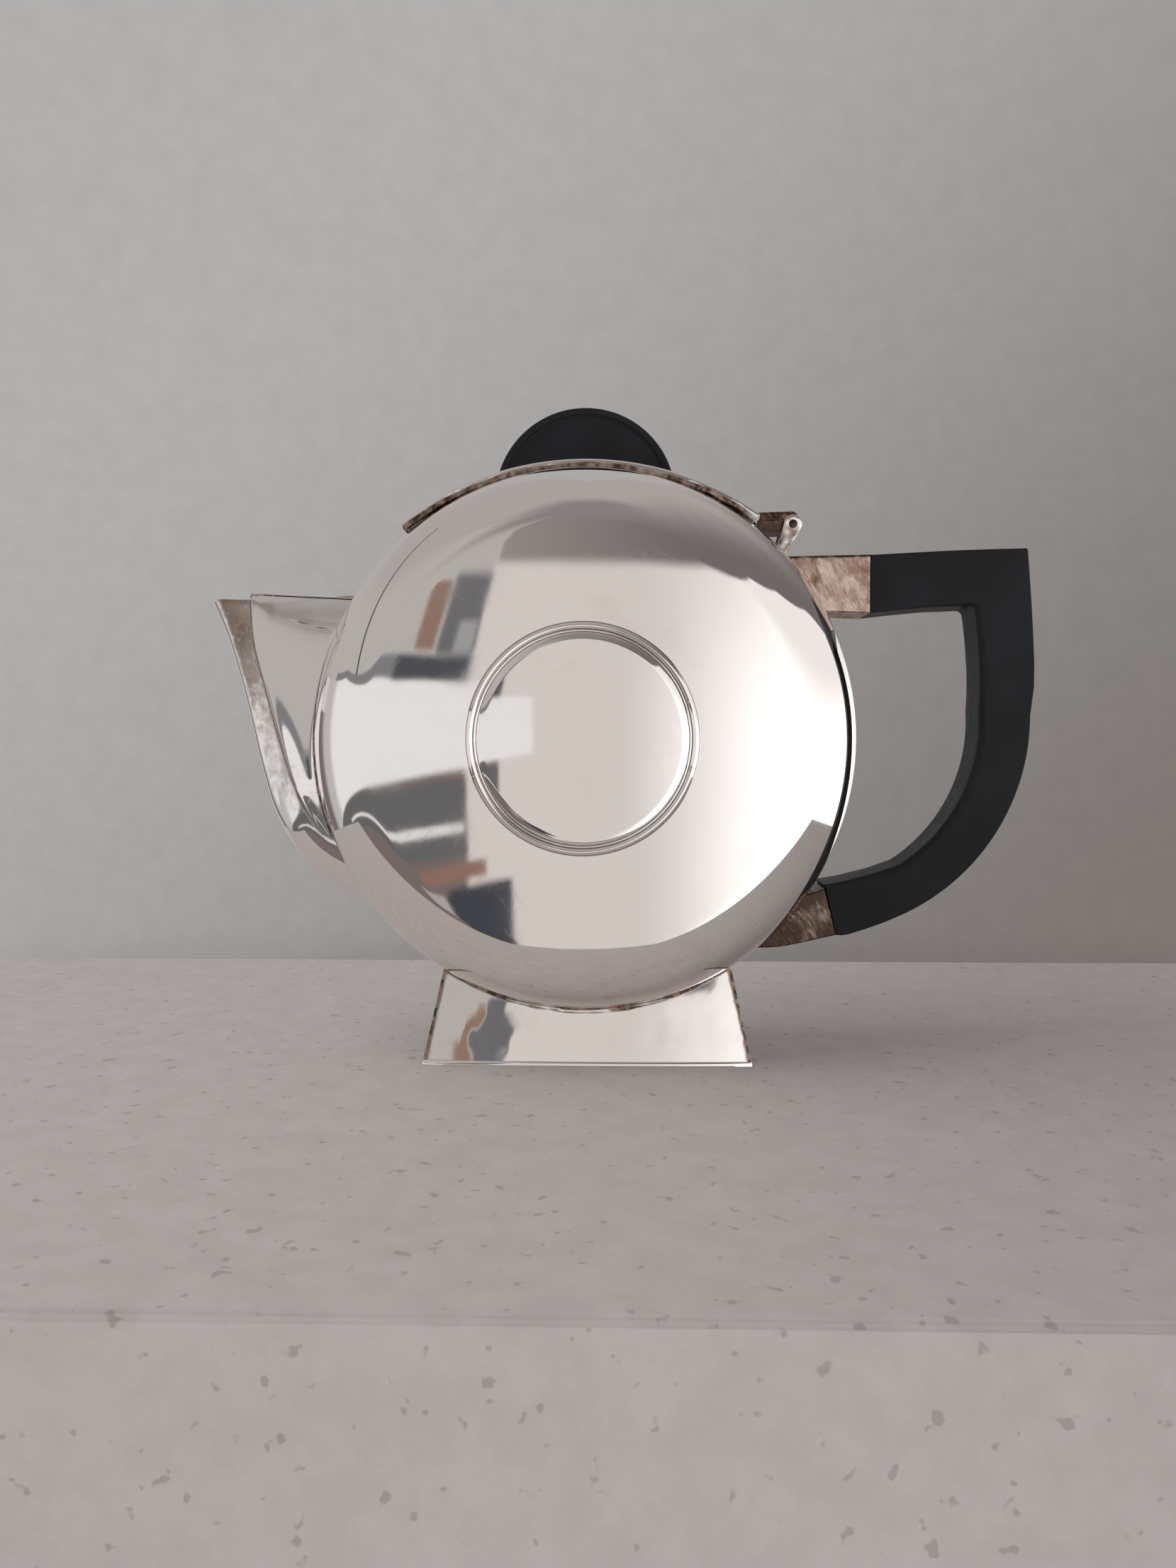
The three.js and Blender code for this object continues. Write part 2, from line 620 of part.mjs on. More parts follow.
function upperSocket() {
  const right = GRIP_TOP_X - GAP;
  const whole = prism([
    [40, GRIP_TOP_HIGH - 0.6], [right, GRIP_TOP_HIGH], [right, GRIP_TOP_LOW], [40, GRIP_TOP_LOW + 0.6],
  ], -SOCKET_HALF_Y, SOCKET_HALF_Y);
  const room = TENON_INSET - GAP;
  const hollow = prism([
    [GRIP_TOP_X - TENON_LENGTH - 1, GRIP_TOP_HIGH - room], [right + 2, GRIP_TOP_HIGH - room],
    [right + 2, GRIP_TOP_LOW + room], [GRIP_TOP_X - TENON_LENGTH - 1, GRIP_TOP_LOW + room],
  ], -TENON_HALF_Y - GAP, TENON_HALF_Y + GAP);
  return cut(whole, hollow, bodyTool(), pinHoles[0]);
}

function lowerSocket() {
  const [[lowX, lowZ], [highX, highZ]] = GRIP_LOW_END;
  const whole = prism([
    [lowX - GAP, lowZ], [66.4, 34.4], [61, 33.2], [56.2, 32.3], [50.2, 32], [44, 32], [40, 42],
    [58, 46.6], [highX - GAP, highZ - SOCKET_STEP],
  ], -SOCKET_HALF_Y, SOCKET_HALF_Y);
  const hollow = lowerBlock(TENON_INSET - GAP, -3, LOWER_TENON + GAP, TENON_HALF_Y + GAP);
  return cut(whole, hollow, bodyTool(), pinHoles[1]);
}

place('upper_socket', upperSocket(), tarnished());
place('lower_socket', lowerSocket(), tarnished());
place('upper_handle_pin', bar(...UPPER_PIN, HANDLE_PIN_R, SOCKET_HALF_Y - GAP / 3, 12), tarnished());
place('lower_handle_pin', bar(...LOWER_PIN, HANDLE_PIN_R, SOCKET_HALF_Y - GAP / 3, 12), tarnished());

export default root;
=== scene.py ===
import math

import bmesh
import bpy
import numpy as np
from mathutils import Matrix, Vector, noise


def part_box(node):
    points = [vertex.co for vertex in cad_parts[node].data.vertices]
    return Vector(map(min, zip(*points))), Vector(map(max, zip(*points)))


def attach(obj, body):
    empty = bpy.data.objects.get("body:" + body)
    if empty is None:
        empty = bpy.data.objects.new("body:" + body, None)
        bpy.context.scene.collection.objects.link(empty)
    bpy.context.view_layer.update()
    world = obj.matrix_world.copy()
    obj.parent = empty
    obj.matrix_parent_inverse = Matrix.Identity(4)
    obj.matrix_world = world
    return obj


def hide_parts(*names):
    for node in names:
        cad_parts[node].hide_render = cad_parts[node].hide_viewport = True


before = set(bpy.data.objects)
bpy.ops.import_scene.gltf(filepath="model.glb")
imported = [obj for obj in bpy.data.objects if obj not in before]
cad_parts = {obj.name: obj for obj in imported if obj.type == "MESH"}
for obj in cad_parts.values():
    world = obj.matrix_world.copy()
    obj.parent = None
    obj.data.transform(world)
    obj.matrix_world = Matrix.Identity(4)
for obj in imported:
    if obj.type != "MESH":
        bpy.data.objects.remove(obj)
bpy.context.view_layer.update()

MM = 0.001


def box_mm(node):
    low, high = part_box(node)
    return np.array(low) / MM, np.array(high) / MM


# ---- Driving sizes ----

shell_low, shell_high = box_mm("body_front_shell")
DISC_Z = (shell_low[2] + shell_high[2]) / 2
DISC_R = (shell_high[0] - shell_low[0]) / 2
ROLL_Y = 11.0
ROLL_R = 19.0
FACE_TILT = 2.5
SHEET = 1.2
SEAM_GAP = 0.05          # the hairline left between soldered sheets

band_low, band_high = box_mm("body_rim_band")
BAND_R = (band_high[0] - band_low[0]) / 2
BAND_HALF = ROLL_Y - SEAM_GAP
BAND_T = 1.4
STRAINER_ROWS = 5
STRAINER_PITCH = 8       # degrees between rows about the disc's axis
STRAINER_PITCH_Y = 5.5
STRAINER_R = 1.7

boss_low, boss_high = box_mm("front_boss")
BOSS_R = (boss_high[0] - boss_low[0]) / 2

base_low, base_high = box_mm("foot_base_plate")
FOOT_SHIFT = (base_low[0] + base_high[0]) / 2
FOOT_HALF_X = (base_high[0] - base_low[0]) / 2
FOOT_HALF_Y = base_high[1]
BASE_T = base_high[2]
FOOT_LEAN = 0.208
FOOT_BOW = 1.3           # how far the long sides bulge
FOOT_CORNER = 0.45       # radius of the foot's upright corners
FOOT_TURN = 0.05         # how far the sheet turns in towards its corners
FOOT_TOP_LIMIT = 34.0
SIDE_STEPS, CORNER_STEPS = 60, 12

lid_low, lid_high = box_mm("lid_plate")
LID_R = 85.1
LID_TOP = lid_high[2]
LID_Z = LID_TOP - LID_R
LID_LEFT = lid_low[0]
LID_RIGHT = lid_high[0]
LID_HALF_Y = lid_high[1]
LID_T = 1.4
BEZEL_LOW_R = 72.0       # the bezel's lower edge, about the disc's axis
LID_EDGE = 2.6

pin_low, pin_high = box_mm("hinge_pin")
HINGE_X = (pin_low[0] + pin_high[0]) / 2
HINGE_Z = (pin_low[2] + pin_high[2]) / 2
PIN_R = (pin_high[2] - pin_low[2]) / 2
PIN_HALF_Y = pin_high[1]
KNUCKLE_R = 2.45
LUG_TOP = 157.9
LUG_LOW = 152.2
KNUCKLE_HALF_Y = box_mm("lid_knuckle")[1][1]
EAR_R = 2.6
EAR_FOOT = [(55.2, 147.1), (57.6, 145)]

finial_high = box_mm("finial")[1]
FINIAL_R = 26.2
FINIAL_Z = finial_high[2] - FINIAL_R
FINIAL_HALF_Y = finial_high[1]
FINIAL_RIM = 2.0

GRIP_HALF_Y = box_mm("handle_grip")[1][1]
SOCKET_HALF_Y = box_mm("upper_socket")[1][1]
GRIP_TOP_X = 81.6
GRIP_TOP_HIGH = 144.8
GRIP_TOP_LOW = 128.2
UPPER_PIN = (76.0, 136.5)
LOWER_PIN = (68.1, 43.0)
HANDLE_PIN_R = 1.25

SPOUT_NOSE = [
    (-109.8, 132.6), (-104.6, 119.4), (-99.9, 102.3), (-95.7, 83.7), (-90.8, 68.6), (-80.1, 52.5),
    (-66.5, 44.2), (-54, 39),
]
SPOUT_SEAM = [
    (-96.5, 132.2), (-95.4, 120), (-91.7, 106.2), (-87.2, 90.5), (-82.4, 77.3), (-73.8, 63.8),
    (-61, 56), (-50, 51),
]
SPOUT_HALF_TOP = 9.5
SPOUT_HALF_LOW = 13.0
HOOD_TOP = [(-96.4, 133.8), (-58, 131.9)]
HOOD_FOLD = [
    (-95.8, 132.3), (-93.4, 130.8), (-89.8, 128.7), (-85.7, 127.3), (-78.5, 125), (-72, 123.9), (-58, 122.6),
]
COVER_HALF = 8.0

TURN_STEPS = 256         # segments round the disc

# ---- Small maths ----


def smoothstep(low, high, value):
    share = np.clip((value - low) / (high - low), 0, 1)
    return share * share * (3 - 2 * share)


def mix(a, b, share):
    return a + (b - a) * share


def spline(points, share):
    """A point of the uniform Catmull-Rom curve through the points."""
    last = len(points) - 1
    place = min(max(share, 0), 1) * last
    start = min(int(place), last - 1)
    t = place - start
    p0, p1, p2, p3 = [np.array(points[min(max(start + k, 0), last)], float) for k in (-1, 0, 1, 2)]
    v0 = (p2 - p0) / 2
    v1 = (p3 - p1) / 2
    return (2 * p1 - 2 * p2 + v0 + v1) * t ** 3 + (-3 * p1 + 3 * p2 - 2 * v0 - v1) * t ** 2 + v0 * t + p1


def arc(x, z, radius, start, end, steps):
    angles = np.radians(np.linspace(start, end, steps + 1))
    return [(x + radius * math.cos(a), z + radius * math.sin(a)) for a in angles]


def rough(x, y, z, scale, seed=0.0):
    """Smooth noise between about -1 and 1, with features of the given size in millimetres."""
    return noise.noise(Vector((x / scale + seed, y / scale - seed, z / scale + 2 * seed)))


ROLL_START = DISC_R - ROLL_R + ROLL_R * math.sin(math.radians(FACE_TILT))
CROWN = ROLL_START / 2 * math.tan(math.radians(FACE_TILT))
ROLL_TOP = ROLL_Y + ROLL_R * math.cos(math.radians(FACE_TILT))


def face_at(radius):
    """Distance of the body's outer face from the mid-plane, at a radius from the disc's axis."""
    if radius <= ROLL_START:
        return ROLL_TOP + CROWN * (1 - (radius / ROLL_START) ** 2)
    return ROLL_Y + math.sqrt(max(ROLL_R ** 2 - (radius - DISC_R + ROLL_R) ** 2, 0))


def body_depth(x, y, z):
    """Roughly how deep a point lies inside the body; negative outside it."""
    radius = math.hypot(x, z - DISC_Z)
    if radius >= DISC_R or abs(y) <= ROLL_Y:
        return DISC_R - radius
    if radius > DISC_R - ROLL_R:
        return ROLL_R - math.hypot(radius - (DISC_R - ROLL_R), abs(y) - ROLL_Y)
    return face_at(radius) - abs(y)


def first_false(test, low, high):
    """Where, on the way from low to high, a test stops being true."""
    for _ in range(30):
        middle = (low + high) / 2
        if test(middle):
            low = middle
        else:
            high = middle
    return high


def reach_body(start, end, depth):
    """The point between two points, the second inside the body, that is the given depth in."""
    share = first_false(lambda share: body_depth(*mix(start, end, share)) < depth, 0.0, 1.0)
    return mix(start, end, share)


# ---- Meshes ----


def make_object(name, points, faces, sharp_angle=35):
    mesh = bpy.data.meshes.new(name)
    mesh.from_pydata([tuple(np.array(p) * MM) for p in points], [], faces)
    bm = bmesh.new()
    bm.from_mesh(mesh)
    bmesh.ops.remove_doubles(bm, verts=bm.verts, dist=1e-7)
    bmesh.ops.recalc_face_normals(bm, faces=bm.faces)
    bm.to_mesh(mesh)
    bm.free()
    mesh.polygons.foreach_set("use_smooth", [True] * len(mesh.polygons))
    mesh.set_sharp_from_angle(angle=math.radians(sharp_angle))
    made = bpy.data.objects.new(name, mesh)
    bpy.context.scene.collection.objects.link(made)
    return made


def finish_piece(piece, material, *nodes, body="pot", tarnish_and_shade=None):
    """Gives a piece its paint, its material and its body, and hides the CAD nodes that it stands for.

    The tarnish_and_shade is a function of a point in millimetres, from 0 where it is clean to 1. Besides
    tarnish, it carries painted shade along the spout's seams and fold and at the foot's corners.
    """
    if tarnish_and_shade:
        layer = piece.data.attributes.new("tarnish_and_shade", "FLOAT", "POINT")
        values = [float(np.clip(tarnish_and_shade(*(v.co / MM)), 0, 1)) for v in piece.data.vertices]
        layer.data.foreach_set("value", values)
    piece.data.materials.clear()
    piece.data.materials.append(material)
    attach(piece, body)
    if nodes:
        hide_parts(*nodes)


def carve(piece, tool):
    """Cuts one mesh with another, and deletes the other."""
    change = piece.modifiers.new("carve", "BOOLEAN")
    change.operation = "DIFFERENCE"
    change.solver = "EXACT"
    change.object = tool
    graph = bpy.context.evaluated_depsgraph_get()
    result = bpy.data.meshes.new_from_object(piece.evaluated_get(graph))
    piece.modifiers.clear()
    piece.data = result
    bpy.data.objects.remove(tool)
    result.polygons.foreach_set("use_smooth", [True] * len(result.polygons))
    result.set_sharp_from_angle(angle=math.radians(35))


def slice_faces(piece, spacing):
    """Cuts a piece's large faces into a grid, so that paint can vary across them."""
    bm = bmesh.new()
    bm.from_mesh(piece.data)
    for axis in (0, 2):
        places = [v.co[axis] for v in bm.verts]
        normal = Vector([float(k == axis) for k in range(3)])
        for place in np.arange(min(places) + spacing * MM / 2, max(places), spacing * MM):
            geometry = [*bm.verts, *bm.edges, *bm.faces]
            bmesh.ops.bisect_plane(bm, geom=geometry, dist=1e-7, plane_co=normal * place, plane_no=normal)
    bm.to_mesh(piece.data)
    bm.free()
    return piece


def flatten_normals(piece):
    """Keeps the light flat on the large faces of a bevelled block."""
    change = piece.modifiers.new("flat_faces", "WEIGHTED_NORMAL")
    change.keep_sharp = True
    change.weight = 100
    return piece


def grid_faces(rows, columns, closed_rows=False, closed_columns=False):
    faces = []
    for i in range(rows if closed_rows else rows - 1):
        for j in range(columns if closed_columns else columns - 1):
            row, below = i * columns, (i + 1) % rows * columns
            ahead = (j + 1) % columns
            faces.append((row + j, row + ahead, below + ahead, below + j))
    return faces


def lofted(name, rows, sharp_angle=35):
    """A closed solid through rings of points, with a face over each end."""
    count = len(rows[0])
    faces = grid_faces(len(rows), count, closed_columns=True)
    faces += [list(range(count)), [(len(rows) - 1) * count + k for k in range(count)]]
    return make_object(name, [p for row in rows for p in row], faces, sharp_angle)


def turned(name, section, height=DISC_Z, steps=TURN_STEPS, wave=None, centre=0.0):
    """A solid turned about a line along Y, from (radius, y) points."""
    points = []
    for k in range(steps):
        angle = 2 * math.pi * k / steps
        for radius, y in section:
            x, z = centre + radius * math.cos(angle), height + radius * math.sin(angle)
            points.append((x, y + (wave(x, y, z) if wave else 0), z))
    return make_object(name, points, grid_faces(steps, len(section), closed_rows=True))


def wrapped_sheet(name, outer, inner):
    """A closed sheet between two sets of lines, with its first edge rounded over."""
    lines = []
    for out_line, in_line in zip(outer, inner):
        first_out, first_in = np.array(out_line[0]), np.array(in_line[0])
        middle = (first_out + first_in) / 2
        away = first_out - np.array(out_line[1])
        away = away / (np.linalg.norm(away) or 1) * np.linalg.norm(first_out - first_in) / 2
        turns = np.radians([150, 120, 90, 60, 30])
        lip = [middle + (first_out - middle) * math.cos(t) + away * math.sin(t) for t in turns]
        lines.append([*lip, *out_line, *in_line[::-1]])
    columns = len(lines[0])
    points = [p for line in lines for p in line]
    faces = grid_faces(len(lines), columns, closed_columns=True)
    for k in (0, len(lines) - 1):
        faces.append([k * columns + j for j in range(5)] + [k * columns + 5, k * columns + columns - 1])
        for j in range(5, 5 + len(outer[0]) - 1):
            opposite = columns - 1 - (j - 5)
            faces.append([k * columns + i for i in (j, j + 1, opposite - 1, opposite)])
    return make_object(name, points, faces, 40)


def block(name, outline, half_y, bevel=0.6, steps=4, middle_y=0.0):
    """A prism of an XZ outline with rounded edges. The bevel may differ from point to point."""
    outline = np.array(outline, float)
    count = len(outline)
    bevels = np.full(count, bevel, float) if np.isscalar(bevel) else np.array(bevel, float)
    ahead = np.roll(outline, -1, axis=0) - outline
    area = np.sum(outline[:, 0] * np.roll(outline[:, 1], -1) - np.roll(outline[:, 0], -1) * outline[:, 1])
    turn = 1 if area > 0 else -1
    normals = np.stack([ahead[:, 1], -ahead[:, 0]], 1) * turn
    normals /= np.linalg.norm(normals, axis=1)[:, None]
    corner = normals + np.roll(normals, 1, axis=0)
    corner /= np.maximum(np.sum(corner * normals, axis=1), 0.35)[:, None]
    rings = []
    for side in (-1, 1):
        angles = np.linspace(90, 0, steps + 1) if side < 0 else np.linspace(0, 90, steps + 1)
        for angle in np.radians(angles):
            inset = bevels * (1 - math.cos(angle))
            y = side * (half_y - bevels + bevels * math.sin(angle)) + middle_y
            ring = outline - corner * inset[:, None]
            rings.append([(p[0], yy, p[1]) for p, yy in zip(ring, y)])
    return flatten_normals(lofted(name, rings, 50))


def rod(name, x, z, radius, half_y, dome, steps=32):
    """A round pin along Y with softly domed ends."""
    section = [(0, -half_y)]
    for angle in np.radians([30, 60, 90]):
        section.append((radius * math.sin(angle), -half_y + dome * (1 - math.cos(angle))))
    section += [(r, -y) for r, y in section[::-1]]
    return turned(name, section, z, steps, centre=x)


def bead(name, path, radius, seed, unevenness=0.35, sides=8, closed=False):
    """An uneven line of solder along a path."""
    path = [np.array(p, float) for p in path]
    rings = []
    for k, place in enumerate(path):
        before = path[k - 1] if k or closed else place
        after = path[(k + 1) % len(path)] if closed or k + 1 < len(path) else place
        along = (after - before) / np.linalg.norm(after - before)
        side = np.cross(along, (0, 1, 0.01))
        side /= np.linalg.norm(side)
        up = np.cross(side, along)
        size = radius * (1 + unevenness * rough(*place, 1.7, seed) + unevenness * rough(*place, 6, seed))
        if not closed and k in (0, len(path) - 1):
            size *= 0.2
        turns = [2 * math.pi * j / sides for j in range(sides)]
        rings.append([place + (side * math.cos(t) + up * math.sin(t)) * size for t in turns])
    if not closed:
        return lofted(name, rings, 80)
    faces = grid_faces(len(path), sides, closed_rows=True, closed_columns=True)
    return make_object(name, [p for ring in rings for p in ring], faces, 80)


# ---- Materials ----


class Signal:
    """An output of a shader node that takes plain arithmetic."""

    def __init__(self, socket):
        self.socket = socket
        self.tree = socket.id_data

    def maths(self, operation, other):
        return add(self.tree, "ShaderNodeMath", {0: self, 1: other}, operation=operation)

    def __add__(self, other):
        return self.maths("ADD", other)

    def __sub__(self, other):
        return self.maths("SUBTRACT", other)

    def __mul__(self, other):
        return self.maths("MULTIPLY", other)

    def parts(self):
        node = add(self.tree, "ShaderNodeSeparateXYZ", {0: self}).socket.node
        return [Signal(output) for output in node.outputs]


def fill(node, values):
    """Sets a node's inputs, each to a plain value or to a signal."""
    for key, value in values.items():
        if isinstance(value, Signal):
            node.id_data.links.new(value.socket, node.inputs[key])
        else:
            node.inputs[key].default_value = value


def add(tree, kind, values=None, output=0, **settings):
    made = tree.nodes.new(kind)
    for key, value in settings.items():
        setattr(made, key, value)
    fill(made, values or {})
    return Signal(made.outputs[output])


def blend(factor, a, b):
    return add(factor.tree, "ShaderNodeMix", {0: factor, 6: a, 7: b}, 2, data_type="RGBA")


def scaled(colour, factor):
    return add(colour.tree, "ShaderNodeVectorMath", {0: colour, "Scale": factor}, operation="SCALE")


def ramp(value, low, high, from_value=0.0, to_value=1.0):
    values = {0: value, 1: low, 2: high, 3: from_value, 4: to_value}
    return add(value.tree, "ShaderNodeMapRange", values, interpolation_type="SMOOTHSTEP")


def grain(vector, scale, detail=2.0, roughness=0.5, stretch=None, turn=(0, 0, 0)):
    """Noise from 0 to 1, which can be turned and then drawn out along an axis."""
    if stretch:
        vector = add(vector.tree, "ShaderNodeMapping", {0: vector, 2: turn})
        vector = add(vector.tree, "ShaderNodeMapping", {0: vector, 3: stretch})
    values = {"Vector": vector, "Scale": scale, "Detail": detail, "Roughness": roughness}
    return add(vector.tree, "ShaderNodeTexNoise", values, "Fac")


def scratches(at, turns, scale, low=0.66, high=0.74):
    """Thin straight hairlines in a few directions, as a value from 0 to 1."""
    total = None
    for turn in turns:
        lines = ramp(grain(at, scale, 1.0, 0.4, (1, 1, 26), turn), low, high)
        total = total.maths("MAXIMUM", lines) if total else lines
    return total


def bump(height, strength, distance):
    values = {"Strength": strength, "Distance": distance, "Height": height}
    return add(height.tree, "ShaderNodeBump", values)


def new_material(name):
    made = bpy.data.materials.new(name)
    made.use_nodes = True
    shader = made.node_tree.nodes["Principled BSDF"]
    return made, shader, add(made.node_tree, "ShaderNodeTexCoord", output="Object")


def painted(at):
    """How much tarnish and painted shade a point of the mesh carries, spread so that noise can be taken from
    it.
    """
    return add(at.tree, "ShaderNodeAttribute", output="Fac", attribute_name="tarnish_and_shade") * 1.9


SILVER = (0.94, 0.905, 0.88, 1)
SILVER_DULL = (0.74, 0.69, 0.65, 1)
# Browns for tarnish, which on the polished silver also colour painted shade.
TARNISH_AND_SHADE_DARK = (0.075, 0.048, 0.036, 1)
TARNISH_AND_SHADE_WARM = (0.42, 0.31, 0.25, 1)
STREAK_PALE = (0.66, 0.525, 0.455, 1)
STREAK_BROWN = (0.36, 0.24, 0.185, 1)
BLOTCH_BROWN = (0.16, 0.10, 0.075, 1)
EBONY_DARK = (0.0165, 0.0172, 0.0196, 1)
EBONY_PALE = (0.0225, 0.0240, 0.0276, 1)
EBONY_DUST = (0.16, 0.15, 0.14, 1)
SHELF_PAINT = (0.575, 0.54, 0.525, 1)
SHELF_MOTTLE = (0.62, 0.585, 0.57, 1)
SHELF_SPECK = (0.27, 0.22, 0.20, 1)


def polished_silver():
    made, shader, at = new_material("silver_polished")
    wear = scratches(at, [(0, 0.9, 0.1), (0.1, 2.1, 0), (0, -0.5, 0.2)], 90, 0.70, 0.76)
    fine = scratches(at, [(0, 1.4, 0.1), (0.1, 0.6, 0), (0, 2.6, 0)], 300, 0.60, 0.72)
    marks = wear * 0.5 + fine * 0.25
    clouds = grain(at, 55, 4, 0.6)
    patches = grain(at, 420, 5, 0.65)
    # Tarnish, and painted shade along the spout's seams and fold and at the foot's corners, turn the silver
    # brown and rougher.
    stain_and_shade = ramp(painted(at) - patches, 0.05, 0.75)
    clean = blend(ramp(clouds, 0.55, 0.8, 0.0, 0.35), SILVER, SILVER_DULL)
    brown = blend(ramp(patches, 0.35, 0.62), TARNISH_AND_SHADE_WARM, TARNISH_AND_SHADE_DARK)
    fill(shader, {
        "Metallic": 1.0,
        "Base Color": blend(stain_and_shade, clean, brown),
        "Roughness": ramp(clouds, 0.4, 0.75) * 0.03 + 0.02 + marks * 0.06 + stain_and_shade * 0.34,
        "Normal": bump(marks * -0.05 + patches * 0.05 + stain_and_shade * 0.5, 0.05, 0.0001),
    })
    return made


def tarnished_silver():
    made, shader, at = new_material("silver_tarnished")
    streaks = grain(at, 90, 4, 0.65, (1, 1, 4.5), (0, -1.05, 0))
    fine = grain(at, 300, 3, 0.6, (1, 1, 5), (0, -1.0, 0))
    blotches = grain(at, 130, 5, 0.7)
    warm = blend(ramp(streaks * 0.6 + blotches * 0.4, 0.42, 0.58), STREAK_PALE, STREAK_BROWN)
    dark = blend(ramp(blotches, 0.52, 0.7), warm, BLOTCH_BROWN)
    fill(shader, {
        "Metallic": 1.0,
        "Base Color": blend(ramp(painted(at) - fine, 0.1, 0.7), dark, TARNISH_AND_SHADE_DARK),
        "Roughness": ramp(fine, 0.3, 0.7, 0.22, 0.46),
        "Normal": bump(fine * 0.6 + streaks * 0.8, 0.35, 0.0006),
    })
    return made


def black_grip():
    made, shader, at = new_material("black_grip")
    clouds = grain(at, 45, 3, 0.6)
    base = blend(ramp(clouds, 0.35, 0.7), EBONY_DARK, EBONY_PALE)
    wear = scratches(at, [(0.3, 0.5, 0.1), (1.0, 1.7, 0.3)], 80)
    fill(shader, {
        "Base Color": blend(ramp(grain(at, 1500, 2, 0.5), 0.72, 0.8, 0.0, 0.35), base, EBONY_DUST),
        "Roughness": ramp(clouds, 0.3, 0.7, 0.36, 0.46) + wear * 0.08,
        "Specular IOR Level": 0.09,
        "Normal": bump(grain(at, 900, 3, 0.6) * 0.5 + clouds * 0.5, 0.12, 0.0003),
    })
    return made


polished = polished_silver()
tarnished = tarnished_silver()
ebony = black_grip()

# ---- Camera, floor and light ----

CAMERA_PLACE = (0.0096, -0.3478, 0.0903)
CAMERA_YAW = 1.466
CAMERA_PITCH = -1.863
LENS = 27.03
SHELF_BACK = 0.1455
SHELF_FRONT = -0.165
SHELF_SIDE = 0.262
SHELF_THICK = 0.3
LAMP_PLACE = (-0.6, -0.2, 1.05)


def make_camera():
    data = bpy.data.cameras.new("camera")
    data.sensor_width = 36
    data.lens = LENS
    camera = bpy.data.objects.new("camera", data)
    camera.location = CAMERA_PLACE
    camera.rotation_euler = (math.radians(90 + CAMERA_PITCH), 0, math.radians(CAMERA_YAW))
    bpy.context.scene.collection.objects.link(camera)
    bpy.context.scene.camera = camera


def make_floor():
    mesh = bpy.data.meshes.new("floor")
    bm = bmesh.new()
    bmesh.ops.create_cube(bm, size=1)
    size = (2 * SHELF_SIDE, SHELF_BACK - SHELF_FRONT, SHELF_THICK)
    middle = (0, (SHELF_BACK + SHELF_FRONT) / 2, -SHELF_THICK / 2)
    for vertex in bm.verts:
        vertex.co = Vector([c * s + m for c, s, m in zip(vertex.co, size, middle)])
    bmesh.ops.bevel(bm, geom=bm.edges[:], offset=0.0015, segments=3, affect="EDGES")
    bm.to_mesh(mesh)
    bm.free()
    floor = bpy.data.objects.new("floor", mesh)
    bpy.context.scene.collection.objects.link(floor)
    made, shader, at = new_material("floor_paint")
    colour = blend(ramp(grain(at, 90, 4, 0.7), 0.35, 0.65), SHELF_PAINT, SHELF_MOTTLE)
    colour = blend(ramp(grain(at, 230, 2, 0.5), 0.645, 0.70, 0, 0.45), colour, SHELF_SPECK)
    # Painted shade: the shelf darkens towards the right.
    shade = ramp(at.parts()[0], 0.0, 0.2, 0.98, 0.80)
    fill(shader, {"Base Color": scaled(colour, shade), "Roughness": 0.55})
    mesh.materials.append(made)


def panel(colour, place, across, up, tone, soft=0.004, soft_up=0.006):
    """Lays a softbox over the sky: a soft-edged rectangle in two angles, in radians."""
    masks = []
    for value, (low, high), edge in zip(place, (across, up), (soft, soft_up)):
        masks.append(ramp(value, low - edge, low + edge) * ramp(value, high - edge, high + edge, 1.0, 0.0))
    return blend(masks[0] * masks[1], colour, tone if isinstance(tone, Signal) else (*tone, 1))


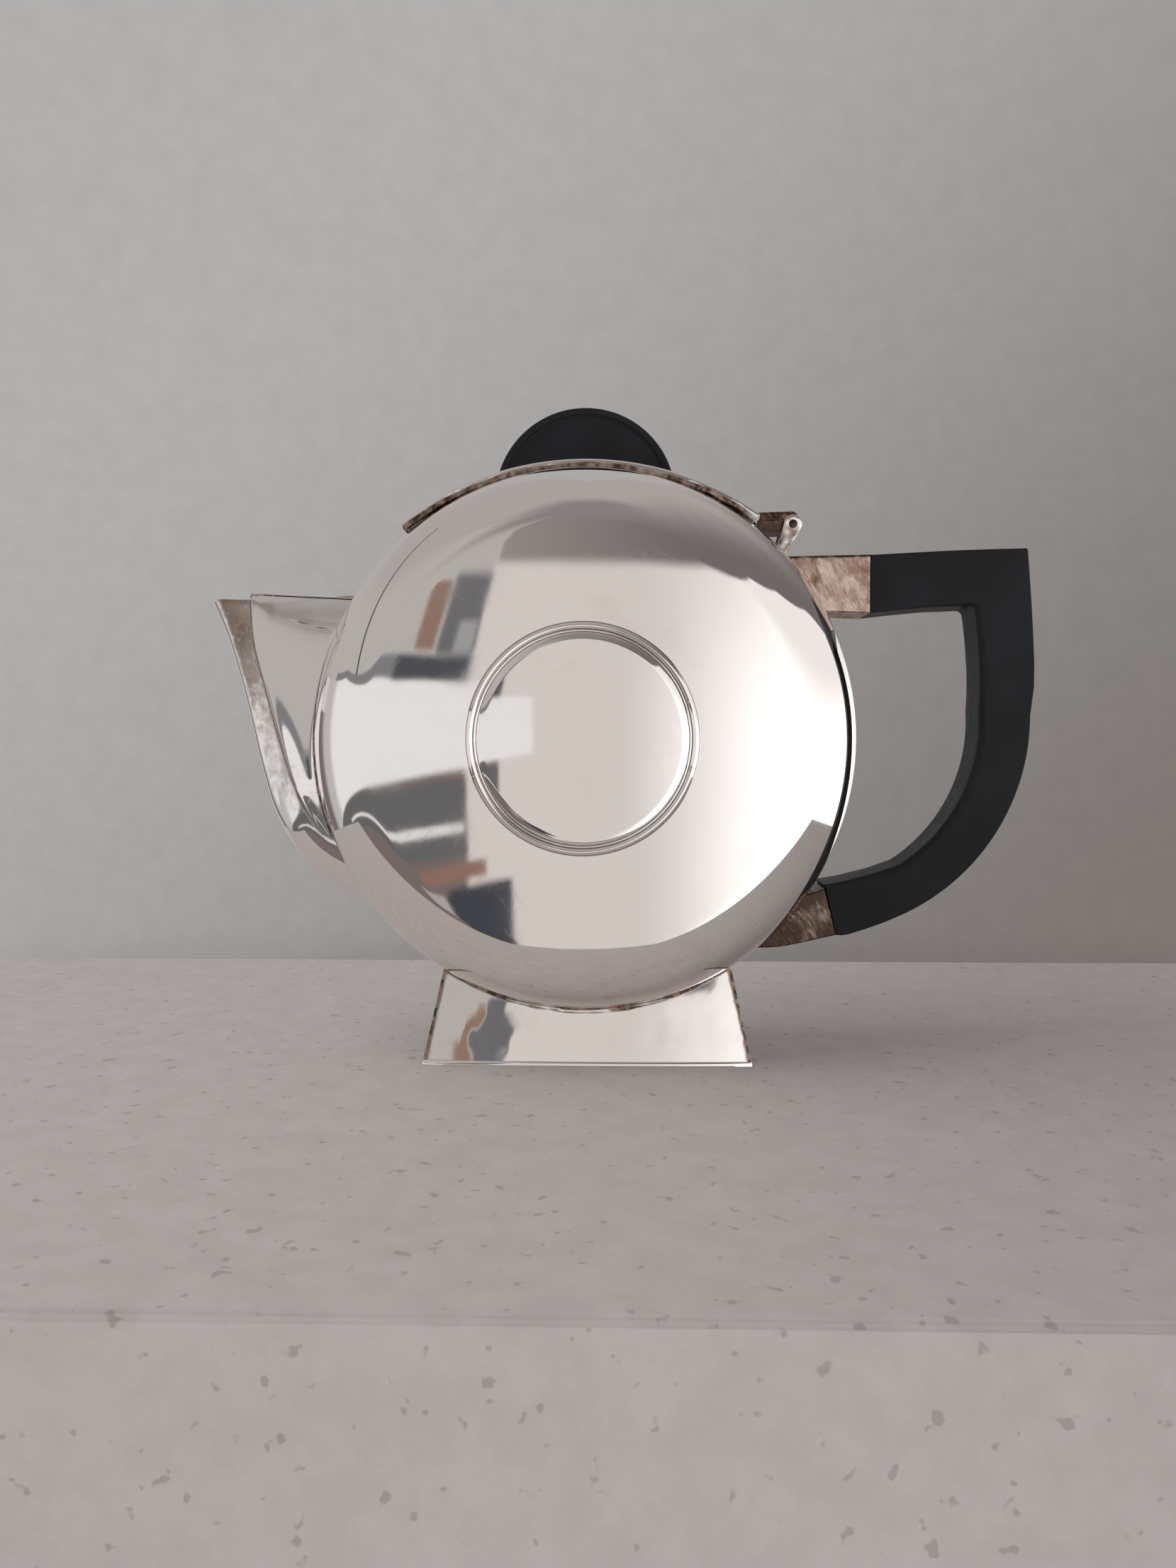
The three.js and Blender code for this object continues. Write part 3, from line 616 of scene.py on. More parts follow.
def make_sky():
    world = bpy.data.worlds.new("studio")
    bpy.context.scene.world = world
    world.use_nodes = True
    tree = world.node_tree
    ray = add(tree, "ShaderNodeTexCoord", output="Generated")
    right, away, up = ray.parts()
    azimuth = right.maths("ARCTAN2", away * -1.0)      # 0 ahead of the pot's face, positive to the right
    elevation = up.maths("ARCSINE", 0.0)
    # The wall behind the pot, with painted light and shade: paler at the upper left, and a little darker
    # just above the shelf, as a painted shadow along the shelf's back edge.
    wall = blend(ramp(up - right, -0.6, 0.7), (0.205, 0.185, 0.173, 1), (0.44, 0.43, 0.425, 1))
    plaster = ramp(grain(ray, 60, 4, 0.6), 0.3, 0.7, 0.975, 1.025)
    seen_wall = scaled(wall, ramp(elevation, -0.19, -0.14, 0.86, 1.0) * plaster)
    # The room in front of it: a pale wall under a darker ceiling, with a tall window at the right.
    height = ramp(azimuth, 0.0, 0.17) * -0.006 + ramp(azimuth, 1.4, 2.15, 0.222, 0.012)
    for start, end, slope in ((0.165, 0.445, 0.74), (0.445, 0.845, 0.30)):
        height += (azimuth.maths("MINIMUM", end) - start).maths("MAXIMUM", 0.0) * slope
    above = elevation - height
    window = ramp(azimuth, 0.03, 0.26) * ramp(elevation, -0.02, 0.30, 1.0, 0.35)
    pale = blend(window, (0.66, 0.62, 0.595, 1), (1.35, 1.33, 1.32, 1))
    shadow = blend(ramp(azimuth, -0.17, 0.14), (0.29, 0.265, 0.255, 1), (0.16, 0.148, 0.146, 1))
    ceiling = blend(ramp(above, 0.08, 0.8), shadow, (0.42, 0.385, 0.375, 1))
    room = blend(ramp(above, -0.008, 0.012), pale, ceiling)
    # The left of the room, in softboxes whose edges are level, or lean or rise to the left.
    across = azimuth - (elevation - 0.07).maths("MAXIMUM", 0.0) * 0.25
    beyond = (azimuth * -1.0 - 0.26).maths("MAXIMUM", 0.0)
    level = (across, elevation)
    tilted = (across, elevation - azimuth * 0.2)
    raised = (across, elevation - beyond.maths("MINIMUM", 0.9) * 0.17)
    steep = (azimuth + elevation * 0.96, elevation)
    edge = -0.176
    softboxes = [
        (level, (-2.3, edge), (-1.5, 0.1), (0.18, 0.15, 0.14)),
        (tilted, (-1.75, -0.118), (0.004, 0.6), (0.80, 0.79, 0.79)),
        (tilted, (-1.9, -1.5), (0.004, 0.6), (0.50, 0.49, 0.49), 0.12),
        (raised, (-3.0, edge), (0.078, 0.62), (0.47, 0.45, 0.435), 0.004, 0.002),
        (level, (-3.0, edge), (0.60, 1.5), (0.42, 0.39, 0.38), 0.1, 0.15),
        (level, (edge, 0.0), (0.078, 1.7), room, 0.002, 0.004),
        (level, (-0.36, 0.02), (0.34, 0.86), (0.25, 0.23, 0.225), 0.14, 0.12),
        (raised, (-1.6, -0.25), (0.078, 0.108), (0.21, 0.21, 0.22), 0.02),
        (level, (-0.27, edge), (0.078, 0.108), (0.075, 0.08, 0.09)),
        (level, (-0.222, edge), (0.108, 0.21), (0.15, 0.15, 0.16), 0.003, 0.01),
        (level, (-0.202, -0.18), (0.112, 0.15), (0.34, 0.34, 0.35), 0.003),
        (level, (-0.25, -0.226), (0.115, 0.20), (0.27, 0.18, 0.14), 0.003),
        (steep, (-0.65, -0.61), (0.20, 0.95), (0.09, 0.09, 0.10), 0.006),
        (tilted, (-1.9, edge), (-0.10, -0.006), (0.13, 0.13, 0.135)),
        (tilted, (-1.2, -0.18), (-0.070, -0.058), (0.75, 0.74, 0.73), 0.004, 0.003),
        (tilted, (-0.20, -0.118), (-0.30, -0.145), (0.055, 0.06, 0.075)),
        (tilted, (-0.27, -0.205), (-0.20, -0.15), (0.40, 0.38, 0.37)),
        (tilted, (-0.24, -0.15), (-0.135, -0.112), (0.27, 0.16, 0.13)),
    ]
    colour = room
    for softbox in softboxes:
        colour = panel(colour, *softbox)
    colour = blend(ramp(azimuth, 2.45, 2.75) + ramp(azimuth, -2.35, -2.65), colour, wall)
    seen = add(tree, "ShaderNodeLightPath", output="Is Camera Ray")
    fill(tree.nodes["Background"], {"Color": blend(seen, colour, seen_wall), "Strength": 1.0})


def make_lamp():
    """A large soft lamp under the ceiling that shows only by its light."""
    data = bpy.data.lights.new("ceiling_softbox", "AREA")
    data.shape = "RECTANGLE"
    data.size, data.size_y = (0.9, 0.6)
    data.energy = 4.4
    lamp = bpy.data.objects.new("ceiling_softbox", data)
    lamp.location = LAMP_PLACE
    aim = Vector((0, -0.05, 0.05)) - Vector(LAMP_PLACE)
    lamp.rotation_euler = aim.to_track_quat("-Z", "Y").to_euler()
    lamp.visible_camera = False
    lamp.visible_glossy = False
    bpy.context.scene.collection.objects.link(lamp)


make_camera()
make_floor()
make_sky()
make_lamp()
bpy.context.scene.view_settings.view_transform = "Standard"

# ---- Body ----


def shell_line(depth, face_steps, roll_steps):
    reach = ROLL_R - depth
    line = [(radius, face_at(radius) - depth) for radius in np.linspace(0, ROLL_START, face_steps + 1)[:-1]]
    for angle in np.radians(np.linspace(FACE_TILT, 90, roll_steps + 1)):
        line.append((DISC_R - ROLL_R + reach * math.sin(angle), ROLL_Y + reach * math.cos(angle)))
    return line


def hand_wave(x, y, z):
    """The slight unevenness of hand-worked sheet."""
    radius = math.hypot(x, z - DISC_Z)
    calm = 1 - 0.85 * smoothstep(ROLL_START - 6, ROLL_START + 6, radius)
    return calm * (0.022 * rough(x, y, z, 26, 3.1) + 0.006 * rough(x, y, z, 11, 7.7))


def body_tarnish(x, y, z):
    radius = math.hypot(x, z - DISC_Z)
    near_foot = math.exp(-(body_to_foot(x, y, z) / 1.6) ** 2)
    near_boss = 0.42 * math.exp(-((radius - BOSS_R - 0.1) / 0.35) ** 2)
    rim = 0.5 * smoothstep(1.0, 0.0, abs(y) - ROLL_Y)
    return max(near_foot * 0.6, near_boss, rim)


def body_to_foot(x, y, z):
    """Distance from the line where the foot's front meets the body."""
    if abs(x - FOOT_SHIFT) > FOOT_HALF_X - FOOT_LEAN * z or z > 32:
        return 9.0
    return abs(abs(y) - (FOOT_HALF_Y - FOOT_LEAN * z))


def make_shell(name, side):
    outside = shell_line(0, 30, 40)
    inside = shell_line(SHEET, 12, 14)[::-1]
    section = [(radius, side * y) for radius, y in [*outside, *inside]]
    piece = turned(name, section, wave=hand_wave)
    finish_piece(piece, polished, "body_" + name, tarnish_and_shade=body_tarnish)


def make_rim_band():
    corner = 0.25
    half, outer, inner = BAND_HALF, BAND_R, BAND_R - BAND_T
    section = [
        (inner, -half), (outer - corner, -half), (outer, -half + corner), (outer, 0),
        (outer, half - corner), (outer - corner, half), (inner, half), (inner, 0), (inner, -half),
    ]
    ring = turned("rim_band", section)
    neck_high = box_mm("lid_bezel")[1]
    clear = 1.5
    half_x, half_y = neck_high[0] + clear, neck_high[1] + clear
    neck = block("neck_tool", [(-half_x, 120), (half_x, 120), (half_x, 180), (-half_x, 180)], half_y, 2.0)
    carve(ring, neck)
    for row in range(STRAINER_ROWS):
        angle = math.radians(STRAINER_PITCH * (STRAINER_ROWS // 2 - row))
        for column in (-1, 0, 1):
            carve(ring, strainer_tool(angle, STRAINER_PITCH_Y * column))
    darkening = lambda x, y, z: 0.55 * smoothstep(0.9, 0.0, half - abs(y)) + 0.15
    finish_piece(ring, polished, "body_rim_band", tarnish_and_shade=darkening)


def strainer_tool(angle, y, steps=20):
    """A round cutter that points at the disc's axis."""
    out = np.array([-math.cos(angle), 0, math.sin(angle)])
    up = np.array([math.sin(angle), 0, math.cos(angle)])
    turns = [2 * math.pi * k / steps for k in range(steps)]
    circle = [STRAINER_R * (up * math.cos(t) + np.array([0, math.sin(t), 0])) for t in turns]
    rings = []
    for distance in (BAND_R - 4, BAND_R + 4):
        rings.append([np.array([0, y, DISC_Z]) + out * distance + point for point in circle])
    return lofted("strainer_tool", rings)


def boss_section():
    """A low dome inside a bead of two rounded ridges, with a groove either side of them."""
    def seat(radius):
        return face_at(radius) + 0.02
    inner = BOSS_R - 2.9
    dome = np.linspace(0, inner - 0.5, 18)
    line = [(r, seat(r) + 0.80 - 0.36 * (r / inner) ** 2) for r in dome]
    line += [(inner - 0.25, seat(inner) + 0.34), (inner, seat(inner) + 0.16)]
    for centre, half, rise in ((BOSS_R - 2.55, 0.35, 0.42), (BOSS_R - 1.2, 0.85, 1.05)):
        for angle in np.radians(np.linspace(170, 10, 9)):
            radius = centre + half * math.cos(angle)
            line.append((radius, seat(radius) + 0.16 + (rise - 0.16) * math.sin(angle)))
    line += [(BOSS_R - 0.22, seat(BOSS_R) + 0.2), (BOSS_R, seat(BOSS_R) + 0.12), (BOSS_R, seat(BOSS_R))]
    line += [(22, seat(22)), (0, seat(0))]
    return line


def make_boss(name, side):
    piece = turned(name, [(radius, side * y) for radius, y in boss_section()], wave=hand_wave)

    def darkening(x, y, z):
        radius = math.hypot(x, z - DISC_Z)
        grooves = [BOSS_R - 2.95, BOSS_R - 2.12, BOSS_R - 0.2]
        return 0.75 * max(math.exp(-((radius - g) / 0.17) ** 2) for g in grooves)

    finish_piece(piece, polished, name, tarnish_and_shade=darkening)


make_shell("front_shell", -1)
make_shell("back_shell", 1)
make_rim_band()
make_boss("front_boss", -1)
make_boss("back_boss", 1)

# ---- Foot ----


def foot_outline(z, inset=0.0):
    """The foot's level section: a rounded rectangle whose long sides bulge."""
    half_x = FOOT_HALF_X - FOOT_LEAN * z - inset
    half_y = FOOT_HALF_Y - FOOT_LEAN * z - inset
    corner = max(FOOT_CORNER - inset, 0.4)
    points = []
    sides = ((0, -1), (1, 0), (0, 1), (-1, 0))
    for k, (dx, dy) in enumerate(sides):
        run = (half_x if dx == 0 else half_y) - corner
        for step in range(SIDE_STEPS):
            along = mix(-run, run, step / SIDE_STEPS)
            swell = -FOOT_TURN * max(1 - (run - abs(along)) / 6, 0) ** 2
            if dx == 0:
                swell += FOOT_BOW * (1 - (along / run) ** 2)
                points.append((-dy * along, dy * (half_y + swell)))
            else:
                points.append((dx * (half_x + swell), dx * along))
        centre_x = (half_x - corner - FOOT_TURN) * (1 if k in (0, 1) else -1)
        centre_y = (half_y - corner - FOOT_TURN) * (1 if k in (1, 2) else -1)
        for step in range(CORNER_STEPS):
            angle = math.radians(90 * (k - 1 + step / CORNER_STEPS))
            points.append((centre_x + corner * math.cos(angle), centre_y + corner * math.sin(angle)))
    return [(x + FOOT_SHIFT, y) for x, y in points]


def foot_panels():
    span = SIDE_STEPS + CORNER_STEPS
    count = 4 * span
    rows = 22
    base = BASE_T + 0.02

    def column(k, inset, sink):
        side, step = divmod(k, span)
        turn = math.pi / 2 * (side + max(step - SIDE_STEPS, 0) / CORNER_STEPS)
        away = np.array([math.sin(turn), -math.cos(turn), 0])

        def at(z):
            x, y = foot_outline(z, inset)[k]
            return np.array([x, y, z])

        high = first_false(lambda z: body_depth(*at(z)) < sink, base, FOOT_TOP_LIMIT)
        line = [at(mix(high, base, share ** 1.7)) for share in np.linspace(0, 1, rows)]
        for point in line:
            share = 1 - (point[2] - base) / (high - base)
            hammered = 0.085 * rough(*point, 11, 5.2) + 0.025 * rough(*point, 4, 2.6)
            point += away * hammered * max(math.sin(math.pi * share), 0) ** 0.5
        return line

    outer = [column(k, 0.05, 0.12) for k in range(count)]
    inner = [column(k, 0.05 + SHEET, 0.12) for k in range(count)]
    names = ("foot_front_panel", "foot_right_panel", "foot_back_panel", "foot_left_panel")
    solder = []
    for k, name in enumerate(names):
        first = k * span - CORNER_STEPS // 2
        chosen = [(first + j) % count for j in range(span + 1)]
        solder += [outer[j][0] for j in chosen[:-1]]
        points = [p for lines in (outer, inner) for j in chosen for p in lines[j]]
        size = len(chosen)
        other = size * rows
        faces = grid_faces(size, rows)
        faces += [tuple(other + i for i in face) for face in faces]
        edges = [(j * rows + i, (j + 1) * rows + i) for j in range(size - 1) for i in (0, rows - 1)]
        edges += [(j * rows + i, j * rows + i + 1) for j in (0, size - 1) for i in range(rows - 1)]
        faces += [(a, b, b + other, a + other) for a, b in edges]
        piece = make_object(name.replace("foot_", "") + "_sheet", points, faces, 40)

        def foot_tarnish_and_shade(x, y, z):
            top = math.exp(-(abs(body_depth(x, y, z)) / 0.7) ** 2)
            low = 0.25 * smoothstep(3.2, 1.4, z)
            side_x = abs(abs(x - FOOT_SHIFT) - (FOOT_HALF_X - FOOT_LEAN * z))
            side_y = abs(abs(y) - (FOOT_HALF_Y - FOOT_LEAN * z))
            # Darker at the upright corners: a broad band of tarnish, and right at each corner a painted
            # shade line for its dark outline.
            corner = 0.3 * smoothstep(5, 1, side_x + side_y) + 0.6 * smoothstep(1.0, 0.4, side_x + side_y)
            patchy = 0.75 + 0.4 * rough(x, y, z, 5, 8.1)
            return max(top * patchy, low, corner)

        finish_piece(piece, polished, name, tarnish_and_shade=foot_tarnish_and_shade)
    seam = bead("foot_solder", solder, 0.22, 4.4, 0.35, closed=True)
    finish_piece(seam, polished, tarnish_and_shade=lambda x, y, z: 0.5 + 0.35 * rough(x, y, z, 4, 1.9))


def foot_base():
    levels = [
        (0, 1), (0, 0.12), (0.12, 0.02), (0.35, 0), (1.1, 0), (1.3, 0.03), (BASE_T, 0.15), (BASE_T, 1.2),
    ]
    rows = [[(x, y, z) for x, y in foot_outline(z, inset + 0.001)] for z, inset in levels]
    piece = lofted("base_sheet", rows, 40)
    finish_piece(piece, polished, "foot_base_plate", tarnish_and_shade=lambda x, y, z: 0.12 if z > 0.05 else 0.3)


foot_panels()
foot_base()

# ---- Spout ----

CREASE_HALF = 6.0        # half-width of the keel strip


def cheek_half(z):
    low, high = SPOUT_SEAM[4][1], SPOUT_SEAM[0][1]
    share = min(max((high - z) / (high - low), 0), 1)
    return mix(SPOUT_HALF_TOP, SPOUT_HALF_LOW, share)


def channel_line(share, depth, steps=48):
    """One section of the channel, from its front edge round the nose to its back edge."""
    tip, edge = spline(SPOUT_NOSE, share), spline(SPOUT_SEAM, share)
    outward = (tip - edge) / np.linalg.norm(tip - edge)
    tip = tip - outward * depth
    tuck = edge - outward * 1.2
    half = cheek_half(edge[1]) - SHEET - 0.35 - depth
    round_off = float(smoothstep(0.42, 0.68, share))
    crease_y = CREASE_HALF - depth * 0.8
    crease_along = 0.64
    line = []
    for k in range(steps + 1):
        angle = math.pi * (k / steps - 0.5)
        smooth_along = max(math.cos(angle), 0) ** 0.7
        smooth_y = half * math.sin(angle)
        turn = abs(2 * k / steps - 1)
        if turn > 0.5:
            part = (1 - turn) / 0.5
            along = crease_along * part
            y = mix(half, crease_y, part) - 0.6 * math.sin(math.pi * part) ** 1.2
        else:
            swing = turn / 0.5 * math.pi / 2
            along = crease_along + (1 - crease_along) * math.cos(swing) ** 0.85
            y = crease_y * math.sin(swing)
        y = math.copysign(y, angle)
        along = mix(along, smooth_along, round_off)
        y = mix(y, smooth_y, round_off)
        flat = mix(tuck, tip, along)
        line.append(np.array([flat[0], y, flat[1]]))
    return line


def make_channel():
    shares = [*np.linspace(0, 0.1, 8)[:-1], *np.linspace(0.1, 1, 46)]
    outer_rows = [channel_line(s, 0) for s in shares]
    inner_rows = [channel_line(s, SHEET) for s in shares]
    for k, flare in enumerate([0.0, 0.12, 0.14, 0.08, 0.03]):
        for point in outer_rows[k] + inner_rows[k]:
            away = point - np.array([-96.0, 0.0, point[2]])
            point += away / (np.linalg.norm(away) or 1) * flare
    outer = [list(line) for line in zip(*outer_rows)]
    inner = [list(line) for line in zip(*inner_rows)]
    piece = wrapped_sheet("spout_nose", outer, inner)

    def darkening(x, y, z):
        mouth = 0.55 * smoothstep(116, 133, z)
        near = abs(x - seam_x(z)) if z > 62 else 9
        # Painted shadow along the seam, where the channel tucks under the cheek's front edge: a dark line
        # that fades out over a few millimetres.
        edge = 0.9 * math.exp(-(near / 0.9) ** 2) + 0.22 * math.exp(-(near / 3) ** 2)
        inside = 0.35
        pits = 0.3 * max(rough(x, y, z, 3.0, 9.1), 0) * smoothstep(90, 50, z)
        body = 0.7 * smoothstep(1.4, 0.0, abs(body_depth(x, y, z)))
        flank = mix(0.40, 0.58, smoothstep(76, 130, z)) + 0.05 * rough(x, y, z, 8, 5.5)
        flank *= smoothstep(CREASE_HALF - 1.5, CREASE_HALF, abs(y)) * smoothstep(60, 76, z)
        return max(mouth * 0.7, edge, pits, body, flank, inside if is_inside(x, y, z) else 0)

    finish_piece(piece, polished, "spout_channel", tarnish_and_shade=darkening)


def seam_at(z):
    share = first_false(lambda share: spline(SPOUT_SEAM, share)[1] > z, 0.0, 1.0)
    return spline(SPOUT_SEAM, share)[0]


SEAM_HEIGHTS = range(52, 134)
SEAM_PLACES = [seam_at(z) for z in SEAM_HEIGHTS]


def seam_x(z):
    return float(np.interp(z, SEAM_HEIGHTS, SEAM_PLACES))


def is_inside(x, y, z):
    return abs(y) < 5 and x > seam_x(z) - 4 and z > 60


CHEEK_SHARE_END = 0.70   # the share of the seam above the cheek's lower end
HOOD_ROWS = 9
WALL_ROWS = 27


def fold_height(x):
    """Height of the curved fold between the hood's bevel and its wall."""
    return float(np.interp(x, [p[0] for p in HOOD_FOLD], [p[1] for p in HOOD_FOLD]))


def cheek_lines(side, depth):
    """Lines of the cheek from the mouth back to the body, from the hood's top downwards."""
    top_front, top_back = np.array(HOOD_TOP[0]), np.array(HOOD_TOP[1])
    fold_front, fold_back = np.array(HOOD_FOLD[0]), np.array(HOOD_FOLD[-1])
    chord = fold_back - fold_front

    def sag(x):
        """How far the fold lies below the straight line between its ends."""
        return fold_height(x) - (fold_front[1] + chord[1] * (x - fold_front[0]) / chord[0])

    pairs = []
    for k in range(HOOD_ROWS):
        part = k / HOOD_ROWS
        front, back = mix(top_front, fold_front, part), mix(top_back, fold_back, part)
        crown = 0.12 * math.sin(math.pi * part)
        half = mix(COVER_HALF, cheek_half(fold_front[1]), part ** 0.9) + crown
        pairs.append((front, back, half, half, part))
    for k in range(WALL_ROWS):
        part = k / (WALL_ROWS - 1)
        edge = spline(SPOUT_SEAM, mix(0.004, CHEEK_SHARE_END, part))
        front = edge + np.array([0.15, 0])
        back = np.array([fold_back[0], mix(fold_back[1], edge[1] - 1, part ** 0.6)])
        half = cheek_half(edge[1])
        pairs.append((front, back, half, half + 0.4, max(1 - 3 * part, 0) ** 2))
    lines = []
    for index, (front, back, half_front, half_back, curve) in enumerate(pairs):
        start = np.array([front[0], side * (half_front - depth), front[1]])
        end = np.array([back[0], side * (half_back - depth), back[1]])
        finish = reach_body(start, end, 0.25)
        length = np.linalg.norm(finish - start)
        wall = smoothstep(HOOD_ROWS, HOOD_ROWS + 3, index)
        line = []
        for step in np.linspace(0, 1, 33):
            point = mix(start, finish, step)
            point[2] += sag(point[0]) * curve
            bulge = 0.25 * math.sin(math.pi * step) * wall
            fillet = 0.9 * math.exp(-(1 - step) * length / 0.6) * wall
            lip = 0.16 * math.exp(-step * length / 0.6)
            point[1] += side * (bulge + fillet + lip)
            line.append(point)
        lines.append(line)
    return lines


def make_cheek(name, node_name, side):
    outer = cheek_lines(side, 0)
    inner = cheek_lines(side, SHEET)
    piece = wrapped_sheet(name, outer, inner)

    def darkening(x, y, z):
        body = 0.8 * smoothstep(1.6, 0.2, abs(body_depth(x, y, z)))
        # Painted shadow line along the cheek's front edge, over the gap at the seam.
        front = 0.7 * math.exp(-(abs(x - seam_x(z)) / 0.4) ** 2)
        # Painted shade along the crease of the hood's fold.
        fold_shade = 0.6 * math.exp(-(abs(z - fold_height(x) + 0.3) / 0.35) ** 2) * smoothstep(-90, -80, x)
        inside = 0.35 if side * y < cheek_half(z) - 0.8 and z < 126 else 0
        dull = 0.3 * smoothstep(102, 86, z)
        return max(body, front, fold_shade, inside, dull)

    solder = [line[-1] + np.array([0, side * 0.15, 0]) for line in outer]
    seam_line = bead(name + "_solder", solder, 0.28, 8.8 + side, 0.5)
    finish_piece(seam_line, polished, tarnish_and_shade=lambda x, y, z: 0.45 + 0.3 * rough(x, y, z, 5, 4.2))
    finish_piece(piece, polished, node_name, tarnish_and_shade=darkening)


def make_cover():
    (front_x, front_z), (back_x, back_z) = HOOD_TOP
    start = np.array([front_x, 0, front_z + 0.25])
    reach = reach_body(start, np.array([back_x, 0, back_z + 0.25]), 0.2)
    top = front_z + 1.28
    outline = [
        (front_x - 0.45, front_z + 0.32), (reach[0], reach[2]), (reach[0] + 0.4, reach[2] + 1.2),
        (front_x + 1.2, top), (front_x + 0.5, top - 0.04), (front_x, top - 0.2), (front_x - 0.35, top - 0.5),
    ]
    piece = block("hood_cover", outline, COVER_HALF + 0.1, [0.1, 0.1, 0.3, 0.3, 0.3, 0.25, 0.2])

    def darkening(x, y, z):
        edge = 0.15 * smoothstep(0.9, 0.1, COVER_HALF - abs(y)) * (0.7 + 0.6 * rough(x, y, z, 6, 3.7))
        return max(edge, 0.35 * smoothstep(-93, -97, x))

    finish_piece(piece, polished, "spout_cover", tarnish_and_shade=darkening)


make_channel()
make_cheek("front_cheek", "spout_cheek_front", -1)
make_cheek("back_cheek", "spout_cheek_back", 1)
make_cover()

# ---- Lid ----


def lid_arc(x_start, x_end, radius, steps=64):
    """Part of a circle about the lid's centre, between two X values."""
    angles = [math.degrees(math.acos(x / radius)) for x in (x_start, x_end)]
    return arc(0, LID_Z, radius, *angles, steps)


def lid_section(half_y, outer_r, lip_r, pocket_r, wobble):
    """The lid's section as (y, radius) points: a plate with its long edges turned down."""
    corner = 0.7
    points = []
    for side in (-1, 1):
        lip = lip_r + wobble(side)
        places = [
            (SHEET, pocket_r), (SHEET, mix(pocket_r, lip, 0.5)), (SHEET, lip + 0.3), (SHEET - 0.3, lip),
            (0.3, lip + 0.02), (0.04, lip + 0.25), (0.03 - wobble(side * 3) * 0.3, mix(lip, outer_r, 0.5)),
        ]
        for angle in np.radians(np.linspace(0, 90, 6)):
            places.append((corner - corner * math.cos(angle), outer_r - corner + corner * math.sin(angle)))
        edge = [(side * (half_y - inset), radius) for inset, radius in places]
        points += edge if side < 0 else edge[::-1]
    spread = 8
    left, right = points[:len(points) // 2], points[len(points) // 2:]
    top = [(mix(left[-1][0], right[0][0], k / spread), outer_r) for k in range(1, spread)]
    under = [(mix(right[-1][0], left[0][0], k / spread), pocket_r) for k in range(1, spread)]
    return [*left, *top, *right, *under]


def make_lid_plate():
    start, end = math.acos(LID_LEFT / LID_R), math.acos(LID_RIGHT / LID_R)
    length = (start - end) * LID_R
    rows = []
    for distance in np.linspace(0, length, 181):
        angle = start - distance / LID_R
        from_end = min(distance, length - distance)
        ease = 1 - min(from_end, 0.8) / 0.8
        fall = 1 - math.sqrt(max(1 - ease ** 2, 0))
        pocket = LID_R - LID_EDGE + 0.05 if from_end < SHEET else LID_R - LID_T

        def wobble(side, place=distance):
            coarse = rough(place, side * 9, 0, 4.5, 1.3)
            return 0.34 * coarse + 0.2 * rough(place, side * 9, 0, 1.2, 6.1)

        ends = (LID_HALF_Y - 0.7 * fall, LID_R - 0.55 * fall)
        section = lid_section(*ends, LID_R - LID_EDGE, pocket, wobble)
        rows.append([(r * math.cos(angle), y, LID_Z + r * math.sin(angle)) for y, r in section])
    piece = lofted("arched_lid", rows, 40)

    def darkening(x, y, z):
        radius = math.hypot(x, z - LID_Z)
        edge = smoothstep(LID_R - 0.5, LID_R - 1.3, radius) * smoothstep(1.0, 0.3, LID_HALF_Y - abs(y))
        under = 0.4 * smoothstep(LID_R - 1.0, LID_R - 1.3, radius)
        patchy = 0.72 + 0.45 * rough(x, y, z, 6, 2.2)
        return max(edge * patchy, under)

    finish_piece(piece, polished, "lid_plate", body="lid", tarnish_and_shade=darkening)


def make_bezel():
    low, high = box_mm("lid_bezel")
    top = LID_R - LID_T - 0.1
    outer = lid_arc(low[0], high[0], top)
    lower = [(x, DISC_Z + math.sqrt(BEZEL_LOW_R ** 2 - x ** 2)) for x, _ in outer[::-1]]
    piece = block("bezel", [*outer, *lower], high[1], 0.25, 3)
    left, right = low[0] + SHEET, high[0] - SHEET
    hollow = [*lid_arc(left, right, top + 3), *lid_arc(right, left, top - 30)]
    carve(piece, block("bezel_tool", hollow, high[1] - SHEET, 0.1, 1))
    finish_piece(piece, polished, "lid_bezel", body="lid", tarnish_and_shade=lambda x, y, z: 0.3)


make_lid_plate()
make_bezel()

# ---- Hinge ----


def make_knuckle():
    start = LID_RIGHT + 0.05
    head = arc(HINGE_X, HINGE_Z, KNUCKLE_R, -90, 60, 16)
    crest = [(HINGE_X + 1.6, LUG_TOP - 0.9), (HINGE_X + 0.9, LUG_TOP - 0.2), (HINGE_X + 0.2, LUG_TOP)]
    outline = [(start, LUG_LOW), (HINGE_X - 1.8, LUG_LOW - 0.2), *head, *crest, (start, LUG_TOP - 0.35)]
    piece = block("lug", outline, KNUCKLE_HALF_Y - 0.25, 0.35)
    groove = block(
        "groove_tool",
        [(start + 2, 155.1), (HINGE_X - 3.9, 155.0), (HINGE_X - 3.7, 156.3), (start + 2.2, 156.4)],
        2, 0.25, 2, -KNUCKLE_HALF_Y - 1.1,
    )
    carve(piece, groove)
    darkening = lambda x, y, z: 0.62 + 0.3 * rough(x, y, z, 2.5, 4.0)
    finish_piece(piece, tarnished, "lid_knuckle", body="lid", tarnish_and_shade=darkening)


